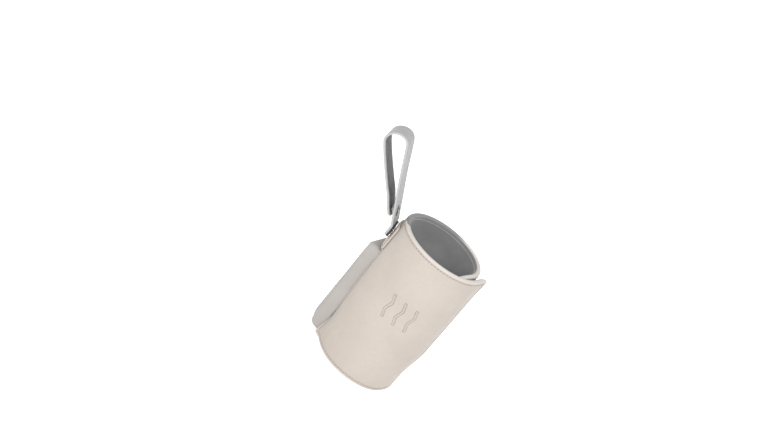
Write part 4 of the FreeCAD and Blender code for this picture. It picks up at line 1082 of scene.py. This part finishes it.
def strap_stitches(name, start, stop, round_start, round_stop, side):
    """Stitches near the strap's edges, on one of its faces, and round its two ends."""
    inset = 2.2
    half = STRAP_WIDTH / 2 - inset
    low = start + (round_start or 0.4)
    high = stop - (round_stop or 0.4)
    rows = np.linspace(low, high, max(8, int((high - low) / 1.5)))
    lines = [on_strap(np.full(len(rows), y), rows, side) for y in (-half, half)]
    angles = np.linspace(0.12, math.pi - 0.12, 24)
    for radius, middle, sign in ((round_start, low, -1), (round_stop, high, 1)):
        if radius:
            end = middle + sign * (radius - inset) * np.sin(angles)
            lines.append(on_strap(-half * np.cos(angles), end, side))
    return stitches(name, lines, mat_grey_thread, pitch=2.9, length=2.2, width=0.5, lift=0.04)


# The strap's three lengths: their CAD nodes, where they start and stop, and how round they start and stop.
SPLIT_LOW, SPLIT_HIGH = FOLD_AT + 36.0, CROWN_END + 20.0
PIECES = (
    ("strap_tab_band", "strap_tab", 0.0, SPLIT_LOW, 12.0, 0.0),
    ("strap_front_band", "strap_front_leg", SPLIT_LOW, SPLIT_HIGH, 0.0, 0.0),
    ("strap_free_band", "strap_free_leg", SPLIT_HIGH, float(TRAVEL[-1]), 0.0, 12.0),
)


def place_strap(piece, index):
    """The free length is attached to the strap's end; the other two only have their placement baked into
    their meshes.
    """
    if index == 0:
        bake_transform(piece)
    elif index == 1:
        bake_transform(piece)
    else:
        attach(piece, "strap_end")


HOLE_AT, HOLE_RADIUS = FOLD_AT + 20.4, 1.6
SLIT_LENGTH, SLIT_HALF = 2.4, 0.5


def cut_hole(band):
    """A punched hole with a short slit below it, so that the band can be pulled over a stud."""
    foot = HOLE_AT - SLIT_LENGTH
    slit = [(-SLIT_HALF, foot), (SLIT_HALF, foot), (SLIT_HALF, HOLE_AT), (-SLIT_HALF, HOLE_AT)]
    for outline in (circle_outline(HOLE_RADIUS, (0.0, HOLE_AT), 24), slit):
        y, travel = np.array(outline).T
        place, out = along_strap(travel)
        points = np.concatenate([upright(place + out * side * 4.0, y) for side in (-1, 1)])
        cut(band, points, prism(outline, 0.0, 1.0, 0)[1])


for index, (name, node, start, stop, first, last) in enumerate(PIECES):
    band = strap_piece(name, start, stop, first, last)
    if index == 0:
        cut_hole(band)
    place_strap(band, index)
    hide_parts(node)
    for side, word in ((1, "outer"), (-1, "inner")):
        sewn = strap_stitches(f"{name}_{word}_stitching", start, stop, first, last, side)
        place_strap(sewn, index)


# ---------------------------------------------------------------- snaps

def lathe(name, centre, axis, profile, materials, sides=56):
    """A turned piece: profile is (radius, height, material index) from its middle outwards and back."""
    axis = np.array(axis, float) / np.linalg.norm(axis)
    side = np.cross(axis, (0.0, 1.0, 0.0))
    side /= np.linalg.norm(side)
    other = np.cross(axis, side)
    points = [centre + axis * profile[0][1]]
    for radius, height, kind in profile[1:-1]:
        for k in range(sides):
            a = 2 * math.pi * k / sides
            points.append(centre + axis * height + radius * (math.cos(a) * side + math.sin(a) * other))
    points.append(centre + axis * profile[-1][1])
    kinds = [kind for radius, height, kind in profile[2:-1] for k in range(sides)]
    kinds += [profile[1][2], profile[-1][2]] * sides
    shown = make_object(name, np.array(points), spindle_faces(len(profile) - 2, sides), materials[0])
    for made in materials[1:]:
        shown.data.materials.append(made)
    shown.data.polygons.foreach_set("material_index", kinds)
    return shown


# A pressed cap: a low dome in the middle, a groove round it, and a rolled rim. The groove and the rim's
# outer side and underside are painted near-black: painted shade.
CAP_PROFILE = ((0.0, 0.98, 0), (0.9, 0.96, 0), (1.7, 0.84, 0), (2.1, 0.70, 0), (2.3, 0.52, 1),
               (2.9, 0.50, 1), (3.1, 0.74, 1), (3.4, 0.98, 0), (3.9, 1.08, 0), (4.35, 0.98, 0),
               (4.5, 0.80, 1), (4.9, 0.66, 1), (5.0, 0.40, 1), (4.95, 0.02, 1), (0.0, 0.0, 1))


def snap_cap(name, node, axis, body):
    """The cap that stands for a CAD cap, its base on the leather."""
    low, high = mm_box(node)
    axis = np.array(axis, float)
    base = (low + high) / 2 - axis * 0.55
    cap = lathe(name, base, axis, CAP_PROFILE, (mat_snap, mat_snap_painted_shade))
    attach(cap, body)
    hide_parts(node)


OUTWARDS = (STRAP_OUT[0], 0.0, STRAP_OUT[1])
snap_cap("base_snap_cap_pressed", "base_snap_cap", (-1, 0, 0), "strap_base")
snap_cap("loop_snap_cap_pressed", "loop_snap_cap", OUTWARDS, "strap_end")
snap_cap("loop_snap_back_pressed", "loop_snap_back", [-part for part in OUTWARDS], "strap_leg")

# The felt pad's outline is shrunk by these shares at these depths, out of BACKING_THICK.
BACKING_THICK = 2.0
BACKING_PROFILE = ((0.72, 0.0), (1.0, 0.0), (1.0, 0.5714), (1.0, 1.1429), (0.985, 1.6), (0.955, 1.8857),
                   (0.9, 2.0), (0.72, 2.0))


def tab_backing():
    """A felt pad on the tab's inner side, with a hole round the snap; its near-black colour is painted shade
    for the gap between the tab and the sleeve.
    """
    low, high = TAB_LOW + 1.0, FOLD[2] + 0.6
    outline = round_outline(11.0, (high - low) / 2, 6.0, (0.0, (high + low) / 2), sides=10)
    middle = np.array((0.0, (high + low) / 2))
    face = FOLD[0] + STRAP_THICK / 2 - 0.15
    points = [(face, *middle)]
    for share, depth in BACKING_PROFILE:
        points += [(face + depth, *(middle + (np.array(place) - middle) * share)) for place in outline]
    points.append((face + BACKING_THICK, *middle))
    faces = spindle_faces(len(BACKING_PROFILE), len(outline))
    pad = make_object("strap_tab_backing", points, faces, mat_felt_painted_shade)
    hole, faces = prism(circle_outline(4.9, (SWIVEL[1], SWIVEL[2])), face - 1, face + BACKING_THICK + 1, 0)
    cut(pad, hole, faces)
    return pad


pad = tab_backing()
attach(pad, "strap_base")

PATCH_LOW, PATCH_HIGH, PATCH_HALF, PATCH_INSET, PATCH_THICK = 107.0, HEIGHT - 10.0, 12.8, 2.4, 2.1


def strap_patch():
    """The leather patch under the base snap: full round its border, and pressed flat under the snap."""
    def outer(turn, height, rim):
        away = np.hypot((turn - 180) * math.radians(RADIUS), height - SWIVEL[2])
        return 0.8 * (1 - smooth_step(away, 5.4, 6.8)) - PATCH_THICK

    reach = math.degrees(PATCH_HALF / RADIUS)
    return slab("strap_patch", 180 - reach, 180 + reach, PATCH_LOW, PATCH_HIGH, outer, 0.15, mat_patch,
                radii=(4, 4, 4, 4), edge=1.3, seam=0.15, step=1.4, open_radius=RADIUS)


patch = strap_patch()
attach(patch, "wrap")
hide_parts("snap_washer")


def patch_stitches():
    """Stitches near the patch's four edges."""
    reach = math.degrees((PATCH_HALF - PATCH_INSET) / RADIUS)
    turns = np.linspace(180 - reach, 180 + reach, 40)
    heights = np.linspace(PATCH_LOW + PATCH_INSET, PATCH_HIGH - PATCH_INSET, 40)
    lines = [wrap_line(turns, height, 0.08 - PATCH_THICK) for height in (heights[0], heights[-1])]
    lines += [wrap_line(turn, heights, 0.08 - PATCH_THICK) for turn in (turns[0], turns[-1])]
    return stitches("strap_patch_stitching", lines, mat_thread, pitch=2.9, length=2.2, width=0.5)


sewn = patch_stitches()
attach(sewn, "wrap")


# ---------------------------------------------------------------- finishes for the CAD nodes

FINISHES = {
    "heating_film": mat_film, "heating_trace": mat_trace, "base_band": mat_elastic,
    "hook_tape": mat_hook, "loop_tape": mat_loop,
    "case_back": mat_case, "case_front": mat_case, "case_screws": mat_steel, "circuit_board": mat_board,
    "display_module": mat_black, "display_window": mat_window, "button_switch": mat_black,
    "charging_socket": mat_steel, "socket_tongue": mat_black, "heater_lead": mat_black,
    "temperature_sensor": mat_black, "power_button": mat_button,
}
for prefix in ("base_snap", "loop_snap"):
    for part in ("stud", "back", "socket", "cap"):
        FINISHES[f"{prefix}_{part}"] = mat_snap
for name, made in FINISHES.items():
    mesh = frame["nodes"][name].data
    mesh.materials.clear()
    mesh.materials.append(made)


# ---------------------------------------------------------------- floor, light and camera

def studio():
    world = bpy.context.scene.world or bpy.data.worlds.new("studio")
    bpy.context.scene.world = world
    world.use_nodes = True
    background = world.node_tree.nodes["Background"]
    background.inputs["Color"].default_value = (1.0, 1.0, 1.0, 1.0)
    background.inputs["Strength"].default_value = 0.98

    mesh = bpy.data.meshes.new("studio_floor")
    reach = 4.0
    mesh.from_pydata([(-reach, -reach, 0), (reach, -reach, 0), (reach, reach, 0), (-reach, reach, 0)], [],
                     [(0, 1, 2, 3)])
    floor = bpy.data.objects.new("studio_floor", mesh)
    bpy.context.scene.collection.objects.link(floor)
    # A light table: it glows a little, so that shadows stay faint.
    paper = material("studio_paper", (0.96, 0.96, 0.96), 0.95,
                     Emission_Color=(1, 1, 1, 1), Emission_Strength=0.3)
    nodes = Nodes(paper)
    nodes.finish(Normal=nodes.bump(nodes.noise(300.0, 3.0), 0.0001, 0.2))
    mesh.materials.append(paper)


def area_light(name, place, target, size, power):
    data = bpy.data.lights.new(name, "AREA")
    data.shape = "DISK"
    data.size = size
    data.energy = power
    lamp = bpy.data.objects.new(name, data)
    lamp.location = Vector(place)
    lamp.rotation_euler = (Vector(place) - Vector(target)).to_track_quat("Z", "Y").to_euler()
    bpy.context.scene.collection.objects.link(lamp)


# The camera: its lens on its sensor in millimetres, its tilts in degrees, the place that it looks at in
# millimetres, and how far off it stands in metres.
SENSOR, LENS = 36.0, 83.8345
ELEVATION, ROLL = math.radians(23.53), math.radians(39.3)
LOOKS_AT, STANDS_OFF = (-59.64, 0.0, 124.41), 1.6


def camera():
    """Looks down a little on the upright warmer, and is turned so that its top leans to the right."""
    data = bpy.data.cameras.new("camera")
    data.sensor_width = SENSOR
    data.lens = LENS
    data.dof.use_dof = False
    data.clip_start, data.clip_end = 0.05, 20.0
    shown = bpy.data.objects.new("camera", data)
    away = Vector((0, -math.cos(ELEVATION), math.sin(ELEVATION)))
    right = Vector((1, 0, 0))
    up = Vector((0, math.sin(ELEVATION), math.cos(ELEVATION)))
    turned_up = math.cos(ROLL) * up - math.sin(ROLL) * right
    turned_right = math.cos(ROLL) * right + math.sin(ROLL) * up
    turned = Matrix((turned_right, turned_up, away)).transposed().to_4x4()
    shown.matrix_world = Matrix.Translation(Vector(LOOKS_AT) * MM + away * STANDS_OFF) @ turned
    bpy.context.scene.collection.objects.link(shown)
    bpy.context.scene.camera = shown


studio()
area_light("key", (0.15, -1.45, 1.15), (0, 0, 0.08), 1.0, 20.0)
camera()
bpy.context.scene.view_settings.view_transform = "Standard"
